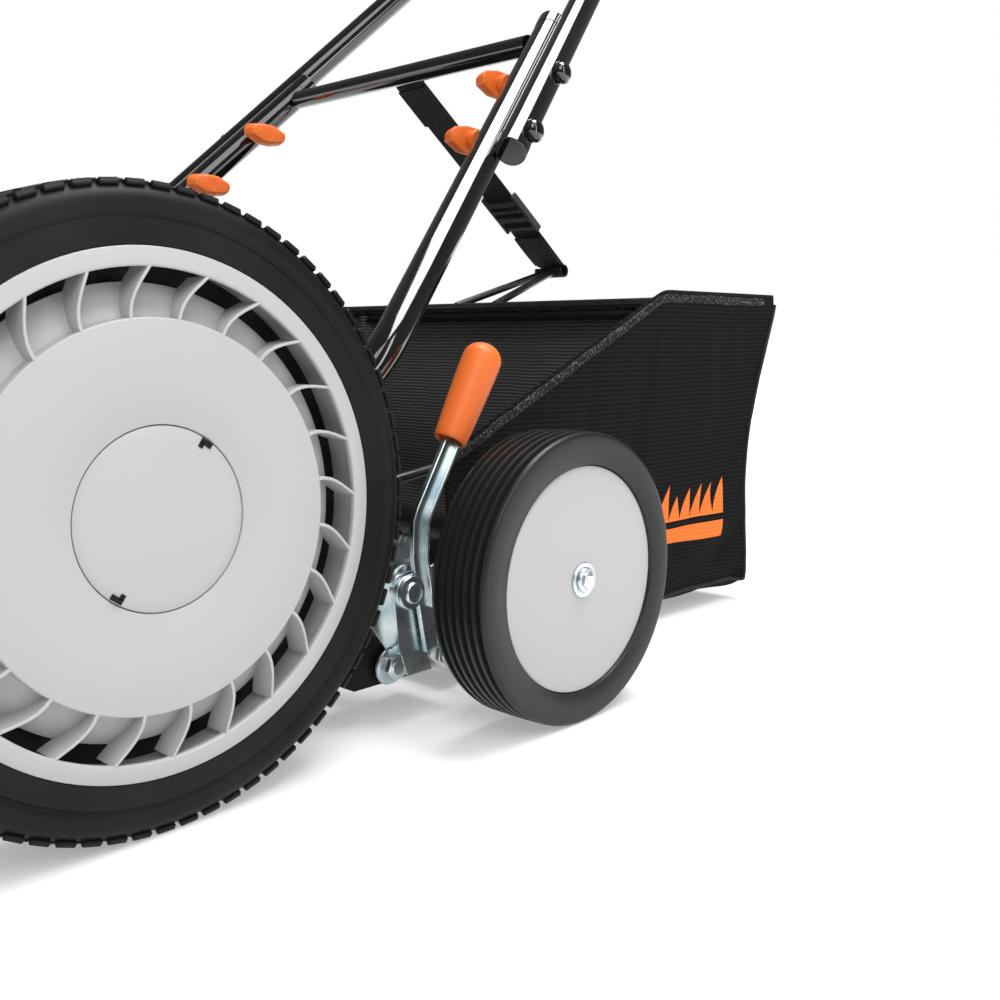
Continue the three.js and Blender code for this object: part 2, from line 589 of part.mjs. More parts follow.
// ---------- grass catcher ----------
const bagX = (y) => bagFrontX + (bagRearX - bagFrontX) * (y - bagFrontY) / (bagRearY - bagFrontY);
const backEdge = [[bagFootY, bagFloorZ], [bagWaistY + 2, 75], [bagWaistY, 112], [bagWaistY + 9, 165],
  [bagRearY, bagTopZ]];
function flaredPanel(outline) {
  const panel = plateOf(outline, -bagWall, 0);
  const p = panel.attributes.position;
  for (let v = 0; v < p.count; v += 1) p.setX(v, p.getX(v) + bagX(p.getY(v)));
  return panel;
}
addPair('bag_side', geometryOf(solid(flaredPanel([[bagFrontY, bagFloorZ], ...backEdge, [bagDiagonalY, bagTopZ],
  [bagFrontY, bagMouthZ]]))), blackFabric);
const backHalf = bagX(bagWaistY) - bagWall - GAP;
const shifted = (points, dy) => points.map(([y, z]) => [y + dy, z]);
add('bag_back', plateOf([...backEdge, ...shifted(backEdge, -bagWall).reverse()], -backHalf, backHalf),
  blackFabric());
const floorEnd = bagWaistY - bagWall - 1;
const floorHalf = (y) => bagX(y) - bagWall - GAP;
const floorShape = new THREE.Shape([
  [-floorHalf(bagFrontY), bagFrontY], [floorHalf(bagFrontY), bagFrontY],
  [floorHalf(floorEnd), floorEnd], [-floorHalf(floorEnd), floorEnd],
].map(([x, y]) => new THREE.Vector2(x, y)));
const bagFloor = new THREE.ExtrudeGeometry(floorShape, { depth: bagWall, bevelEnabled: false });
add('bag_floor', bagFloor.translate(0, 0, bagFloorZ), blackFabric());

const wireInset = bagWall + wireR + 0.8;
const wireZ = (y) => Math.min(bagTopZ, bagMouthZ + (y - bagFrontY) * (bagTopZ - bagMouthZ)
  / (bagDiagonalY - bagFrontY)) - 7;
const hookY = 160;
const hookX = plateX + tubeR + GAP;
const sideWire = (side) => [
  [side * hookX, hookY, wireZ(bagFrontY) - 26], [side * hookX, hookY, wireZ(bagFrontY) - 6],
  [side * (bagX(bagFrontY) - wireInset), bagFrontY, wireZ(bagFrontY)],
  [side * (bagX(bagDiagonalY) - wireInset), bagDiagonalY, wireZ(bagDiagonalY)],
  [side * (bagX(bagRearY) - wireInset), bagRearY - bagWall - 10, bagTopZ - 7],
];
const loopWire = swept(route([...sideWire(1), ...sideWire(-1).reverse()], 9), wireR, 6);
const crossWire = rod(wireR, -bagX(bailFootY) + wireInset, bagX(bailFootY) - wireInset,
  [bailFootY, bagTopZ - 7], 8);
const bail = swept(route([[-bailFootX, bailFootY, bagTopZ - 6], [-3, ...bailApex], [3, ...bailApex],
  [bailFootX, bailFootY, bagTopZ - 6]], 2.9), wireR, 6);
add('catcher_frame', join(loopWire, crossWire, bail), blackSteel());

// The strap holds the catcher's tail up to the handle's crossbar.
const strapFrom = [bailApex[0] - 1, bailApex[1] + wireR + 2];
const strapTo = [handleY(crossbarZ) + 7.5, crossbarZ - 5];
add('catcher_strap', plateOf(barOutline([strapFrom, strapTo], strapThickness), -strapWidth / 2, strapWidth / 2),
  blackNylon());

export default mower;
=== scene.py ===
"""Push reel mower with a grass catcher: the finished look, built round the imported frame."""
import math
import random

import bmesh
import bpy
from mathutils import Matrix, Vector
from mathutils.kdtree import KDTree


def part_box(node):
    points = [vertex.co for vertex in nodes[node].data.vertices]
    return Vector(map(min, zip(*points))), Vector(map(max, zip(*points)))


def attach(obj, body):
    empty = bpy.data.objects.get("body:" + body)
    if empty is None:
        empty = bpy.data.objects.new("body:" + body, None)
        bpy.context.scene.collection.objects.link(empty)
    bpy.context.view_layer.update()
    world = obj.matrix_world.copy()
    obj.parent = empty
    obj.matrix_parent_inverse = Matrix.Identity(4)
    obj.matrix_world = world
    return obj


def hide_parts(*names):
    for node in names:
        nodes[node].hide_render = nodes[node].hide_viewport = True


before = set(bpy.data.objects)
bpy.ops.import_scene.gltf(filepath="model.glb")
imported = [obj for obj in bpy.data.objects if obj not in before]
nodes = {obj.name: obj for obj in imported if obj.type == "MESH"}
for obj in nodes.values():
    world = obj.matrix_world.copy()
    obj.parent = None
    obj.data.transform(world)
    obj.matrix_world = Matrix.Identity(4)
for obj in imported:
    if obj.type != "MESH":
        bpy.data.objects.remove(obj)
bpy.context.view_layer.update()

# --- Studio -------------------------------------------------------------------
# A pale sweep of floor, a broad soft key light over the left shoulder, a tall strip
# at the side, and a wide top light that draws the white line down the glossy handle.
camera_data = bpy.data.cameras.new("camera")
camera_data.lens = 39.52
camera_data.sensor_width = 36.0
camera_data.shift_x = 0.0015
camera_data.shift_y = 0.0053
camera_data.clip_end = 50.0
camera = bpy.data.objects.new("camera", camera_data)
bpy.context.scene.collection.objects.link(camera)
front_tyre_low, front_tyre_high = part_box("left_tyre")
wheel_y = (front_tyre_low.y + front_tyre_high.y) / 2
camera.location = (0.6443, wheel_y - 0.2182, 0.1954)
camera.rotation_euler = (math.radians(90 - 8.63), 0, math.radians(42.54))
bpy.context.scene.camera = camera


def lamp(name, place, aim, size, power):
    data = bpy.data.lights.new(name, "AREA")
    data.shape = "RECTANGLE"
    data.size, data.size_y = size
    data.energy = power
    light = bpy.data.objects.new(name, data)
    light.location = place
    light.rotation_euler = (Vector(aim) - Vector(place)).to_track_quat("-Z", "Y").to_euler()
    bpy.context.scene.collection.objects.link(light)


lamp("key_light", (2.2, -1.6, 2.6), (0, -0.1, 0.1), (2.4, 2.4), 56)
lamp("side_light", (2.6, 0.6, 1.3), (0, 0, 0.3), (0.3, 2.4), 13)
lamp("top_light", (0.55, 0.5, 3.0), (0.55, 0.45, 0), (2.6, 1.4), 118)
bpy.context.scene.view_settings.view_transform = "Standard"

# The sweep behind reads white, while the room that the gloss reflects is dimmer.
world = bpy.data.worlds.new("studio")
bpy.context.scene.world = world
world.use_nodes = True
sky = world.node_tree.nodes["Background"]
ray = world.node_tree.nodes.new("ShaderNodeLightPath")
room = world.node_tree.nodes.new("ShaderNodeMapRange")
room.inputs["To Min"].default_value = 0.38
room.inputs["To Max"].default_value = 0.14
strength = world.node_tree.nodes.new("ShaderNodeMapRange")
strength.inputs["To Max"].default_value = 1.0
world.node_tree.links.new(ray.outputs["Is Glossy Ray"], room.inputs["Value"])
world.node_tree.links.new(ray.outputs["Is Camera Ray"], strength.inputs["Value"])
world.node_tree.links.new(room.outputs[0], strength.inputs["To Min"])
world.node_tree.links.new(strength.outputs[0], sky.inputs["Strength"])
sky.inputs["Color"].default_value = (1, 1, 1, 1)

bm = bmesh.new()
bmesh.ops.create_grid(bm, x_segments=1, y_segments=1, size=12)
floor_mesh = bpy.data.meshes.new("floor")
bm.to_mesh(floor_mesh)
bm.free()
floor = bpy.data.objects.new("floor", floor_mesh)
bpy.context.scene.collection.objects.link(floor)
floor_paint = bpy.data.materials.new("pale_floor")
floor_paint.use_nodes = True
floor_shader = floor_paint.node_tree.nodes["Principled BSDF"]
floor_shader.inputs["Base Color"].default_value = (0.62, 0.62, 0.625, 1)
floor_shader.inputs["Roughness"].default_value = 0.7
floor_shader.inputs["Specular IOR Level"].default_value = 0.2
floor_shader.inputs["Emission Color"].default_value = (1, 1, 1, 1)
# the floor glows a little, and more with distance, as a lit sweep does
floor_tree = floor_paint.node_tree
floor_place = floor_tree.nodes.new("ShaderNodeTexCoord").outputs["Object"]
floor_far = floor_tree.nodes.new("ShaderNodeVectorMath")
floor_far.operation = "LENGTH"
floor_glow = floor_tree.nodes.new("ShaderNodeMapRange")
floor_glow.inputs["From Min"].default_value = 0.7
floor_glow.inputs["From Max"].default_value = 2.2
floor_glow.inputs["To Min"].default_value = 0.34
floor_glow.inputs["To Max"].default_value = 1.1
floor_tree.links.new(floor_place, floor_far.inputs[0])
floor_tree.links.new(floor_far.outputs["Value"], floor_glow.inputs["Value"])
floor_tree.links.new(floor_glow.outputs[0], floor_shader.inputs["Emission Strength"])
floor_mesh.materials.append(floor_paint)

# --- Silver front wheels --------------------------------------------------------
# One injection-moulded wheel a side: a flat disc, a ring of swept vanes over a
# sloping floor, and a flush rim. The plastic is a satin silver grey with a fine
# mould texture. It turns on a zinc stub axle behind a snap-in hub cap.
MM = 0.001


def node_of(tree, kind, **values):
    """A shader node with its inputs set: a socket links, anything else is a value."""
    node = tree.nodes.new(kind)
    for key, value in values.items():
        if hasattr(node, key) and key not in node.inputs:
            setattr(node, key, value)
            continue
        socket = node.inputs[int(key[1:])] if key[0] == "_" else node.inputs[key.replace("_", " ")]
        if isinstance(value, bpy.types.NodeSocket):
            tree.links.new(value, socket)
        else:
            socket.default_value = value
    return node


def calc(tree, kind, *values):
    """The output of one maths node."""
    inputs = {f"_{i}": value for i, value in enumerate(values)}
    return node_of(tree, "ShaderNodeMath", operation=kind, **inputs).outputs[0]


def start_material(name, metallic=0.0, coat=0.0, specular=0.5):
    material = bpy.data.materials.new(name)
    material.use_nodes = True
    tree = material.node_tree
    shader = tree.nodes["Principled BSDF"]
    shader.inputs["Metallic"].default_value = metallic
    shader.inputs["Coat Weight"].default_value = coat
    shader.inputs["Specular IOR Level"].default_value = specular
    place = tree.nodes.new("ShaderNodeTexCoord").outputs["Object"]
    return material, tree, shader, place


def colour_socket(group, name, value, in_out="INPUT"):
    socket = group.interface.new_socket(name, in_out=in_out, socket_type="NodeSocketColor")
    if in_out == "INPUT":
        socket.default_value = value


def number_socket(group, name, value, in_out="INPUT"):
    socket = group.interface.new_socket(name, in_out=in_out, socket_type="NodeSocketFloat")
    if in_out == "INPUT":
        socket.default_value = value


# Handled surface: cloudy change of tone, dust in patches and a fine moulded or
# painted texture, shared by every hard finish with its own amounts.
surface = bpy.data.node_groups.new("handled_surface", "ShaderNodeTree")
surface.interface.new_socket("Place", in_out="INPUT", socket_type="NodeSocketVector")
colour_socket(surface, "Colour", (0.5, 0.5, 0.5, 1))
colour_socket(surface, "Dust", (0.5, 0.48, 0.45, 1))
for socket_name, socket_value in (("Cloud", 0.06), ("Dusting", 0.03), ("Roughness", 0.4), ("Spread", 0.08),
                                  ("Grain", 900.0), ("Cloud Size", 18.0)):
    number_socket(surface, socket_name, socket_value)
colour_socket(surface, "Colour", None, "OUTPUT")
number_socket(surface, "Roughness", None, "OUTPUT")
number_socket(surface, "Height", None, "OUTPUT")
given = surface.nodes.new("NodeGroupInput").outputs
result = surface.nodes.new("NodeGroupOutput")
cloud = node_of(surface, "ShaderNodeTexNoise", Vector=given["Place"], Scale=given["Cloud Size"], Detail=4.0)
speck = node_of(surface, "ShaderNodeTexNoise", Vector=given["Place"], Scale=given["Grain"], Detail=2.0)
lighter = calc(surface, "MULTIPLY_ADD", cloud.outputs["Fac"], given["Cloud"], 1.0)
toned = node_of(surface, "ShaderNodeVectorMath", operation="SCALE", _0=given["Colour"],
                Scale=lighter)
patch = node_of(surface, "ShaderNodeMapRange", Value=cloud.outputs["Fac"], From_Min=0.45, From_Max=0.75)
patched = calc(surface, "MULTIPLY", patch.outputs[0], given["Dusting"])
dusted = node_of(surface, "ShaderNodeMix", data_type="RGBA", _0=patched, _6=toned.outputs[0], _7=given["Dust"])
uneven = calc(surface, "MULTIPLY_ADD", cloud.outputs["Fac"], given["Spread"], given["Roughness"])
surface.links.new(dusted.outputs[2], result.inputs["Colour"])
surface.links.new(uneven, result.inputs["Roughness"])
surface.links.new(speck.outputs["Fac"], result.inputs["Height"])


def hard_finish(name, colour, bump=0.05, metallic=0.0, coat=0.0, specular=0.5, **amounts):
    """A material from the handled surface, with its grain as bump."""
    material, tree, shader, place = start_material(name, metallic, coat, specular)
    handled = tree.nodes.new("ShaderNodeGroup")
    handled.node_tree = surface
    tree.links.new(place, handled.inputs["Place"])
    handled.inputs["Colour"].default_value = (*colour, 1)
    for key, value in amounts.items():
        handled.inputs[key.replace("_", " ")].default_value = value
    grain = node_of(tree, "ShaderNodeBump", Strength=bump, Distance=0.0004, Height=handled.outputs["Height"])
    tree.links.new(handled.outputs["Colour"], shader.inputs["Base Color"])
    tree.links.new(handled.outputs["Roughness"], shader.inputs["Roughness"])
    tree.links.new(grain.outputs["Normal"], shader.inputs["Normal"])
    return material


def turn(bm, profile, centre, steps=96):
    """Turns an [r, x] outline in mm once round an axis along X through centre (y, z) in metres."""
    verts = [bm.verts.new((x * MM, centre[0] + r * MM, centre[1])) for r, x in profile]
    edges = [bm.edges.new(pair) for pair in zip(verts, verts[1:])]
    if profile[0][0] > 0.01 and profile[-1][0] > 0.01 and profile[0] != profile[-1]:
        edges.append(bm.edges.new((verts[-1], verts[0])))
    bmesh.ops.spin(bm, geom=verts + edges, cent=(0, *centre), axis=(1, 0, 0), angle=math.tau, steps=steps,
                   use_merge=True)


def close_up(bm):
    bmesh.ops.remove_doubles(bm, verts=bm.verts, dist=1e-6)
    bmesh.ops.recalc_face_normals(bm, faces=bm.faces)


def prism(bm, outline, x0, x1):
    """A flat [y, z] outline in metres, given a thickness along X."""
    face = bm.faces.new([bm.verts.new((x0, y, z)) for y, z in outline])
    grown = bmesh.ops.extrude_face_region(bm, geom=[face])
    moved = [item for item in grown["geom"] if isinstance(item, bmesh.types.BMVert)]
    bmesh.ops.translate(bm, verts=moved, vec=(x1 - x0, 0, 0))
    return moved


def finish_piece(name, bm, material, body, slot_name, stands_for=(), bevel=0.0, smooth=40, subdivide=0):
    """Turns a bmesh into a piece that rides on its body."""
    mesh = bpy.data.meshes.new(name)
    bm.to_mesh(mesh)
    bm.free()
    mesh.materials.append(material)
    mesh.shade_smooth()
    mesh.set_sharp_from_angle(angle=math.radians(smooth))
    piece = bpy.data.objects.new(name, mesh)
    bpy.context.scene.collection.objects.link(piece)
    if bevel:
        rounded = piece.modifiers.new("rounded_edges", "BEVEL")
        rounded.width = bevel
        rounded.segments = 2
        rounded.limit_method = "ANGLE"
        rounded.angle_limit = math.radians(smooth)
        rounded.harden_normals = False
    if subdivide:
        finer = piece.modifiers.new("finer", "SUBSURF")
        finer.levels = finer.render_levels = subdivide
    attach(piece, body)
    if stands_for:
        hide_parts(*stands_for)
    return piece


def both_sides(name, build, material, body, slot_name, stands_for=(), **finish):
    """Builds a left-hand piece and its mirror image. SIDE in the body's name becomes left or right."""
    made = []
    for side, sign in (("left", 1), ("right", -1)):
        bm = bmesh.new()
        build(bm)
        if sign < 0:
            bmesh.ops.scale(bm, vec=(-1, 1, 1), verts=bm.verts)
            bmesh.ops.reverse_faces(bm, faces=bm.faces)
        rides_on = body.replace("SIDE", side)
        made.append(finish_piece(f"{side}_{name}", bm, material, rides_on, slot_name,
                                 [f"{side}_{node}" for node in stands_for], **finish))
    return made


front_axis = (wheel_y, (front_tyre_low.z + front_tyre_high.z) / 2)
face_x = front_tyre_high.x / MM
silver = hard_finish("silver_plastic", (0.42, 0.417, 0.425), bump=0.03, Cloud=0.03, Dusting=0.0,
                     Roughness=0.36, Spread=0.06, Grain=1400.0, Cloud_Size=9.0)
disc_outline = [
    (8.3, -40.2), (16, -40.2), (16, -11), (39.3, -11), (39.3, -3), (74.4, -3), (74.4, -40.2), (76.3, -40.4),
    (76.5, -14), (84, -15.5), (89.6, -15.5), (89.8, -13.6), (84, -9.4), (76.9, -6), (76.5, -5.4),
    (76.5, -0.6), (76.2, -0.15), (75.6, 0), (36.9, 0), (36.4, -0.3), (36.3, -8), (8.3, -8)]
rim_outline = [(94.9, -0.7), (95.5, 0), (101.7, 0), (102.5, -0.6), (102.5, -42), (99, -42), (99, -4),
               (95.1, -3)]
vane_count = 24
vane_thickness = 1.5
vane_sweep = 6.6


def vane_middle(t):
    """Radius in mm and angle in degrees along a vane, from the rim inwards."""
    return 95.4 - t * 19.4, vane_sweep * math.sin(t * math.pi / 2) ** 1.15


def front_wheel(bm):
    turn(bm, [(r, face_x + x) for r, x in disc_outline], front_axis, 144)
    turn(bm, [(r, face_x + x) for r, x in rim_outline], front_axis, 144)
    for vane in range(vane_count):
        outline = []
        for side in (1, -1):
            for step in range(7)[::side]:
                r, angle = vane_middle(step / 6)
                at = math.radians(vane * 360 / vane_count + angle) + side * vane_thickness / 2 / r
                outline.append((front_axis[0] + r * MM * math.cos(at), front_axis[1] + r * MM * math.sin(at)))
        prism(bm, outline, (face_x - 14) * MM, (face_x - 0.1) * MM)
    close_up(bm)


both_sides("vented_wheel", front_wheel, silver, "SIDE_wheel", "silver_plastic", ["wheel"], bevel=0.0003)


def vent_shade_ring(bm):
    """Black ring behind the vanes: painted shade that makes the vents look dark and deep."""
    shade_outline = [(77, -19), (98.6, -19), (98.6, -40), (97.6, -40), (97.6, -20), (77, -20)]
    turn(bm, [(r, face_x + x) for r, x in shade_outline], front_axis, 96)
    close_up(bm)


shadow_black = hard_finish("shadow_black", (0.008, 0.008, 0.009), specular=0.2, Roughness=0.7)
# painted shade: a black ring stands in for the dark hollow seen through the vents
both_sides("vent_shade_ring", vent_shade_ring, shadow_black, "SIDE_wheel", "black_nylon", smooth=40)

# --- Hub caps ---------------------------------------------------------------------
# A shallow domed cap snaps into the middle of each wheel. Two small pry notches
# in its edge are drawn as dark boxes on the cap face: painted shade for the hollow behind.
cap_r = 36.0


def hub_cap(bm):
    dome = [(cap_r - 0.6, 0.0), (cap_r, -0.5), (cap_r, -7), (cap_r - 2, -7), (cap_r - 2, -2), (0, -1.2)]
    crown = [(cap_r * t / 8, 1.2 * (1 - (t / 8) ** 2)) for t in range(8)]
    turn(bm, [(r, face_x + x) for r, x in crown + dome], front_axis, 96)
    close_up(bm)


def notch_shade_boxes(bm):
    # each notch is two dark boxes standing on the cap face: painted shade, not a cut
    for at in (54.0, -126.8):
        turned = Matrix.Rotation(math.radians(at), 4, "X")
        placed = Matrix.Translation((face_x * MM, *front_axis)) @ turned @ Matrix.Translation((0, 0.0345, 0))
        bmesh.ops.create_cube(bm, size=1, matrix=placed @ Matrix.Diagonal((0.0012, 0.0022, 0.0052, 1)))
        lip = Matrix.Translation((0, -0.0018, 0.0016))
        bmesh.ops.create_cube(bm, size=1, matrix=placed @ lip @ Matrix.Diagonal((0.0012, 0.0022, 0.0020, 1)))


both_sides("snap_hub_cap", hub_cap, silver, "SIDE_wheel", "silver_plastic", ["hub_cap"], smooth=50)
both_sides("notch_shade_box", notch_shade_boxes, shadow_black, "SIDE_wheel", "silver_plastic", smooth=30)

# --- Front tyres --------------------------------------------------------------------
# Hollow black rubber with a flat bead ring beside the rim, a rounded sidewall and
# a chequered tread: rows of small lugs set half a pitch apart.
tyre_r = (front_tyre_high.z - front_tyre_low.z) / 2 / MM
tyre_width = (front_tyre_high.x - front_tyre_low.x) / MM
rubber = hard_finish("tyre_rubber", (0.0060, 0.0058, 0.0057), bump=0.12, specular=0.14, Cloud=0.5,
                     Dusting=0.012, Roughness=0.40, Spread=0.14, Grain=700.0, Cloud_Size=14.0)
carcass = [(112.0, -0.5), (112.6, -1.6), (113.6, -1.7), (114.6, -0.7), (117.5, -0.1), (120.0, -0.6),
           (122.2, -1.9), (124.0, -4.0), (125.2, -7.5)]
tyre_outline = [(102.8, -0.5)] + carcass + [(r, -tyre_width - x) for r, x in reversed(carcass)] + [
    (102.8, -tyre_width + 1)]
lug_count = 75
lug_rows = ((-5.4, 5.5, 0.0), (-12.4, 7.0, 0.5), (-22.0, 10.0, 0.0), (-31.6, 7.0, 0.5), (-38.6, 5.5, 0.0))


def front_tyre(bm):
    turn(bm, [(r, face_x + x) for r, x in tyre_outline], front_axis, 144)
    close_up(bm)


def tread_lugs(bm):
    for row, (x, width, shift) in enumerate(lug_rows):
        edge_row = row in (0, len(lug_rows) - 1)
        for lug in range(lug_count):
            at = math.tau * (lug + shift) / lug_count
            tilt = Matrix.Rotation(math.radians(30 if x > -20 else -30) if edge_row else 0, 4, "Z")
            middle = Matrix.Translation((0, (tyre_r - (2.7 if edge_row else 1.45)) * MM, 0))
            spot = (Matrix.Translation(((face_x + x) * MM, *front_axis)) @ Matrix.Rotation(at, 4, "X")
                    @ middle @ tilt)
            made = bmesh.ops.create_cube(bm, size=1, matrix=spot @ Matrix.Diagonal(
                (width * MM, 0.0026, 0.0080, 1)))
            edges = {edge for vert in made["verts"] for edge in vert.link_edges}
            bmesh.ops.bevel(bm, geom=list(edges), offset=0.0005, affect="EDGES", segments=1, profile=0.5,
                            material=-1)


both_sides("tyre_carcass", front_tyre, rubber, "SIDE_wheel", "tyre_rubber", ["tyre"], smooth=60)
both_sides("tyre_lugs", tread_lugs, rubber, "SIDE_wheel", "tyre_rubber", smooth=30)

# --- Rear wheels ----------------------------------------------------------------------
# A plain silver disc pressed into a ribbed rubber tyre. Six round-bottomed
# grooves run round the tread, and a zinc washer and flange bolt hold the wheel.
rear_low, rear_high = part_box("left_rear_tyre")
rear_axis = ((rear_low.y + rear_high.y) / 2, (rear_low.z + rear_high.z) / 2)
rear_face_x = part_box("left_rear_axle")[1].x / MM - 3
rear_r = (rear_high.z - rear_low.z) / 2 / MM
groove_count = 6
groove_pitch = 5.3
groove_depth = 2.9
groove_section = ((0.0, 0.0), (0.3, 0.5), (0.7, 0.9), (1.7, 1.0), (2.7, 0.9), (3.1, 0.5), (3.4, 0.0))


def rear_tread():
    """Radius and x of the ribbed tread, from the outer shoulder inwards."""
    outline = [(72.4, -0.7), (73.3, -0.85), (74.1, -1.3), (74.6, -2.0)]
    for groove in range(groove_count):
        start = -3.4 - groove * groove_pitch
        for step, depth in groove_section:
            outline.append((rear_r - 0.35 - depth * groove_depth + 0.35 * math.sin(math.pi * (groove + 0.5) /
                            groove_count), start - step))
    return outline + [(74.2, -35.2), (72.6, -36.3), (71.0, -36.6)]


def rear_tyre(bm):
    outline = [(58.3, -1.6), (58.9, -1.0)] + rear_tread() + [(58.3, -35.0)]
    turn(bm, [(r, rear_face_x + x) for r, x in outline], rear_axis, 128)
    close_up(bm)


def rear_disc(bm):
    outline = [(6.3, -2.1), (9.0, -2.2), (56.2, -2.2), (57.6, -2.6), (57.9, -3.6), (57.9, -33.6),
               (54.3, -33.6), (54.3, -5.4), (13, -5.4), (13, -63), (6.3, -63)]
    turn(bm, [(r, rear_face_x + x) for r, x in outline], rear_axis, 128)
    close_up(bm)


rear_rubber = hard_finish("rear_tyre_rubber", (0.011, 0.0107, 0.0107), bump=0.08, specular=0.34, Cloud=0.4,
                          Dusting=0.01, Roughness=0.30, Spread=0.12, Grain=700.0, Cloud_Size=18.0)
both_sides("ribbed_rear_tyre", rear_tyre, rear_rubber, "SIDE_rear_wheel", "tyre_rubber", ["rear_tyre"],
           smooth=50)
both_sides("rear_disc", rear_disc, silver, "SIDE_rear_wheel", "silver_plastic", ["rear_wheel"], smooth=45)

# Bright zinc: cool light metal with faint streaks from rolling and passivation.
zinc, zinc_tree, zinc_shader, zinc_place = start_material("bright_zinc", metallic=1.0)
zinc_stretch = node_of(zinc_tree, "ShaderNodeMapping", Vector=zinc_place, Scale=(70, 70, 260))
zinc_streak = node_of(zinc_tree, "ShaderNodeTexNoise", Vector=zinc_stretch.outputs[0], Scale=1.0, Detail=3.0)
zinc_cloud = node_of(zinc_tree, "ShaderNodeTexNoise", Vector=zinc_place, Scale=55.0, Detail=4.0)
zinc_tone = zinc_tree.nodes.new("ShaderNodeValToRGB")
zinc_tone.color_ramp.elements[0].position, zinc_tone.color_ramp.elements[1].position = 0.35, 0.7
zinc_tone.color_ramp.elements[0].color = (0.50, 0.60, 0.63, 1)
zinc_tone.color_ramp.elements[1].color = (0.88, 0.90, 0.90, 1)
zinc_tree.links.new(zinc_cloud.outputs["Fac"], zinc_tone.inputs["Fac"])
zinc_streaks = zinc_streak.outputs["Fac"]
zinc_rough = node_of(zinc_tree, "ShaderNodeMapRange", Value=zinc_streaks, To_Min=0.20, To_Max=0.40)
zinc_bump = node_of(zinc_tree, "ShaderNodeBump", Strength=0.02, Distance=0.0002, Height=zinc_streaks)
zinc_tree.links.new(zinc_tone.outputs["Color"], zinc_shader.inputs["Base Color"])
zinc_tree.links.new(zinc_rough.outputs[0], zinc_shader.inputs["Roughness"])
zinc_tree.links.new(zinc_bump.outputs["Normal"], zinc_shader.inputs["Normal"])


def hex_bolt(bm, x, centre, across, height, flange=0.0, turned=15.0):
    """A hex head standing on x, with a round flange under it; sizes in mm, centre in metres."""
    spot = Matrix.Translation((x * MM, *centre)) @ Matrix.Rotation(math.radians(90), 4, "Y")
    if flange:
        rim = bmesh.ops.create_cone(bm, cap_ends=True, segments=40, radius1=flange * MM,
                                    radius2=(flange - 0.7) * MM, depth=1.6 * MM,
                                    matrix=spot @ Matrix.Translation((0, 0, 0.8 * MM)))
        rim_edges = {e for v in rim["verts"] for e in v.link_edges
                     if len(e.link_faces) == 2 and e.calc_face_angle(0) > 0.5}
        bmesh.ops.bevel(bm, geom=list(rim_edges), offset=0.0003, affect="EDGES", segments=2, profile=0.5,
                        material=-1)
    base = 1.4 if flange else 0.0
    corner_r = across / 1.732 * MM
    middle = Matrix.Translation((0, 0, (base + height / 2) * MM))
    head = bmesh.ops.create_cone(
        bm, cap_ends=True, segments=6, radius1=corner_r, radius2=corner_r, depth=height * MM,
        matrix=spot @ Matrix.Rotation(math.radians(turned), 4, "Z") @ middle)
    head_edges = {e for v in head["verts"] for e in v.link_edges}
    bmesh.ops.bevel(bm, geom=list(head_edges), offset=0.0006, affect="EDGES", segments=2, profile=0.5,
                    material=-1)
    top = Matrix.Translation((0, 0, (base + height + 0.2) * MM))
    bmesh.ops.create_cone(bm, cap_ends=True, segments=24, radius1=across * 0.36 * MM,
                          radius2=across * 0.30 * MM, depth=0.5 * MM, matrix=spot @ top)


def rear_axle_bolt(bm):
    shank = ((0, -72.6), (10, -72.6), (10, -68.6), (6, -68.6), (6, -3), (0, -3))
    turn(bm, [(r, rear_face_x + x) for r, x in shank], rear_axis, 40)
    close_up(bm)
    turn(bm, [(r, rear_face_x + x) for r, x in ((0, -2.3), (8.6, -2.3), (9.0, -2.1), (9.0, -1.3), (8.7, -1.0),
                                                (0, -0.4))], rear_axis, 48)
    hex_bolt(bm, rear_face_x - 0.6, rear_axis, 9.0, 1.7, flange=6.8)


both_sides("rear_axle_bolt", rear_axle_bolt, zinc, "SIDE_height", "zinc_plate", ["rear_axle"], smooth=30)

# --- Height adjusters -------------------------------------------------------------------
# A folded zinc bracket is bolted to the chassis. A spring lever with an orange grip
# swings the rear wheel up or down and clicks into the bracket's notched edge.
bracket_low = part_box("left_height_bracket")[0]
lever_low, lever_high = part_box("left_height_lever")
front_y, ground = wheel_y, front_tyre_low.z
lever_x0, lever_x1 = lever_low.x, lever_high.x


def at(y, z):
    """A point given in mm behind the front axle and above the ground."""
    return front_y + y * MM, ground + z * MM


pivot = at(150, 69)


def arc(centre, r, first, last, steps):
    """Points on a circle in mm about a centre in metres, from one angle to another in degrees."""
    angles = [math.radians(first + (last - first) * i / steps) for i in range(steps + 1)]
    return [(centre[0] + r * MM * math.cos(a), centre[1] + r * MM * math.sin(a)) for a in angles]


def height_bracket(bm):
    x = bracket_low.x
    outline = [at(127, 61), at(151, 28), at(158, 23), at(176, 23), at(183, 30), at(182, 42), at(171, 62)]
    for notch in range(9):
        outline += arc(pivot, 27.5, 52 + notch * 8, 56.5 + notch * 8, 2) + arc(pivot, 24.5, 58 + notch * 8,
                                                                             58.5 + notch * 8, 1)
    outline += [at(127.5, 78)]
    prism(bm, outline, x, x + 0.0025)
    # the pressed channel that stands off the plate and carries the stud
    for y0, y1 in ((143, 145.2), (158, 160.2)):
        prism(bm, [at(y0, 74), at(y0 + 3, 40), at(y0 + 9, 24), at(y1 + 9, 24), at(y1 + 3, 40), at(y1, 74)],
              x + 0.0022, x + 0.0092)
    web = [at(143, 74), at(146, 40), at(152, 24), at(169, 24), at(163, 40), at(160.2, 74)]
    prism(bm, web + arc(at(151.6, 74), 8.6, 10, 170, 8), x + 0.0072, x + 0.0092)
    close_up(bm)
    hex_bolt(bm, x / MM + 2.4, at(145.5, 29.5), 12.0, 5.2, flange=10.0, turned=8)
    hex_bolt(bm, x / MM + 2.4, at(181, 29), 12.0, 5.2, flange=10.0, turned=22)


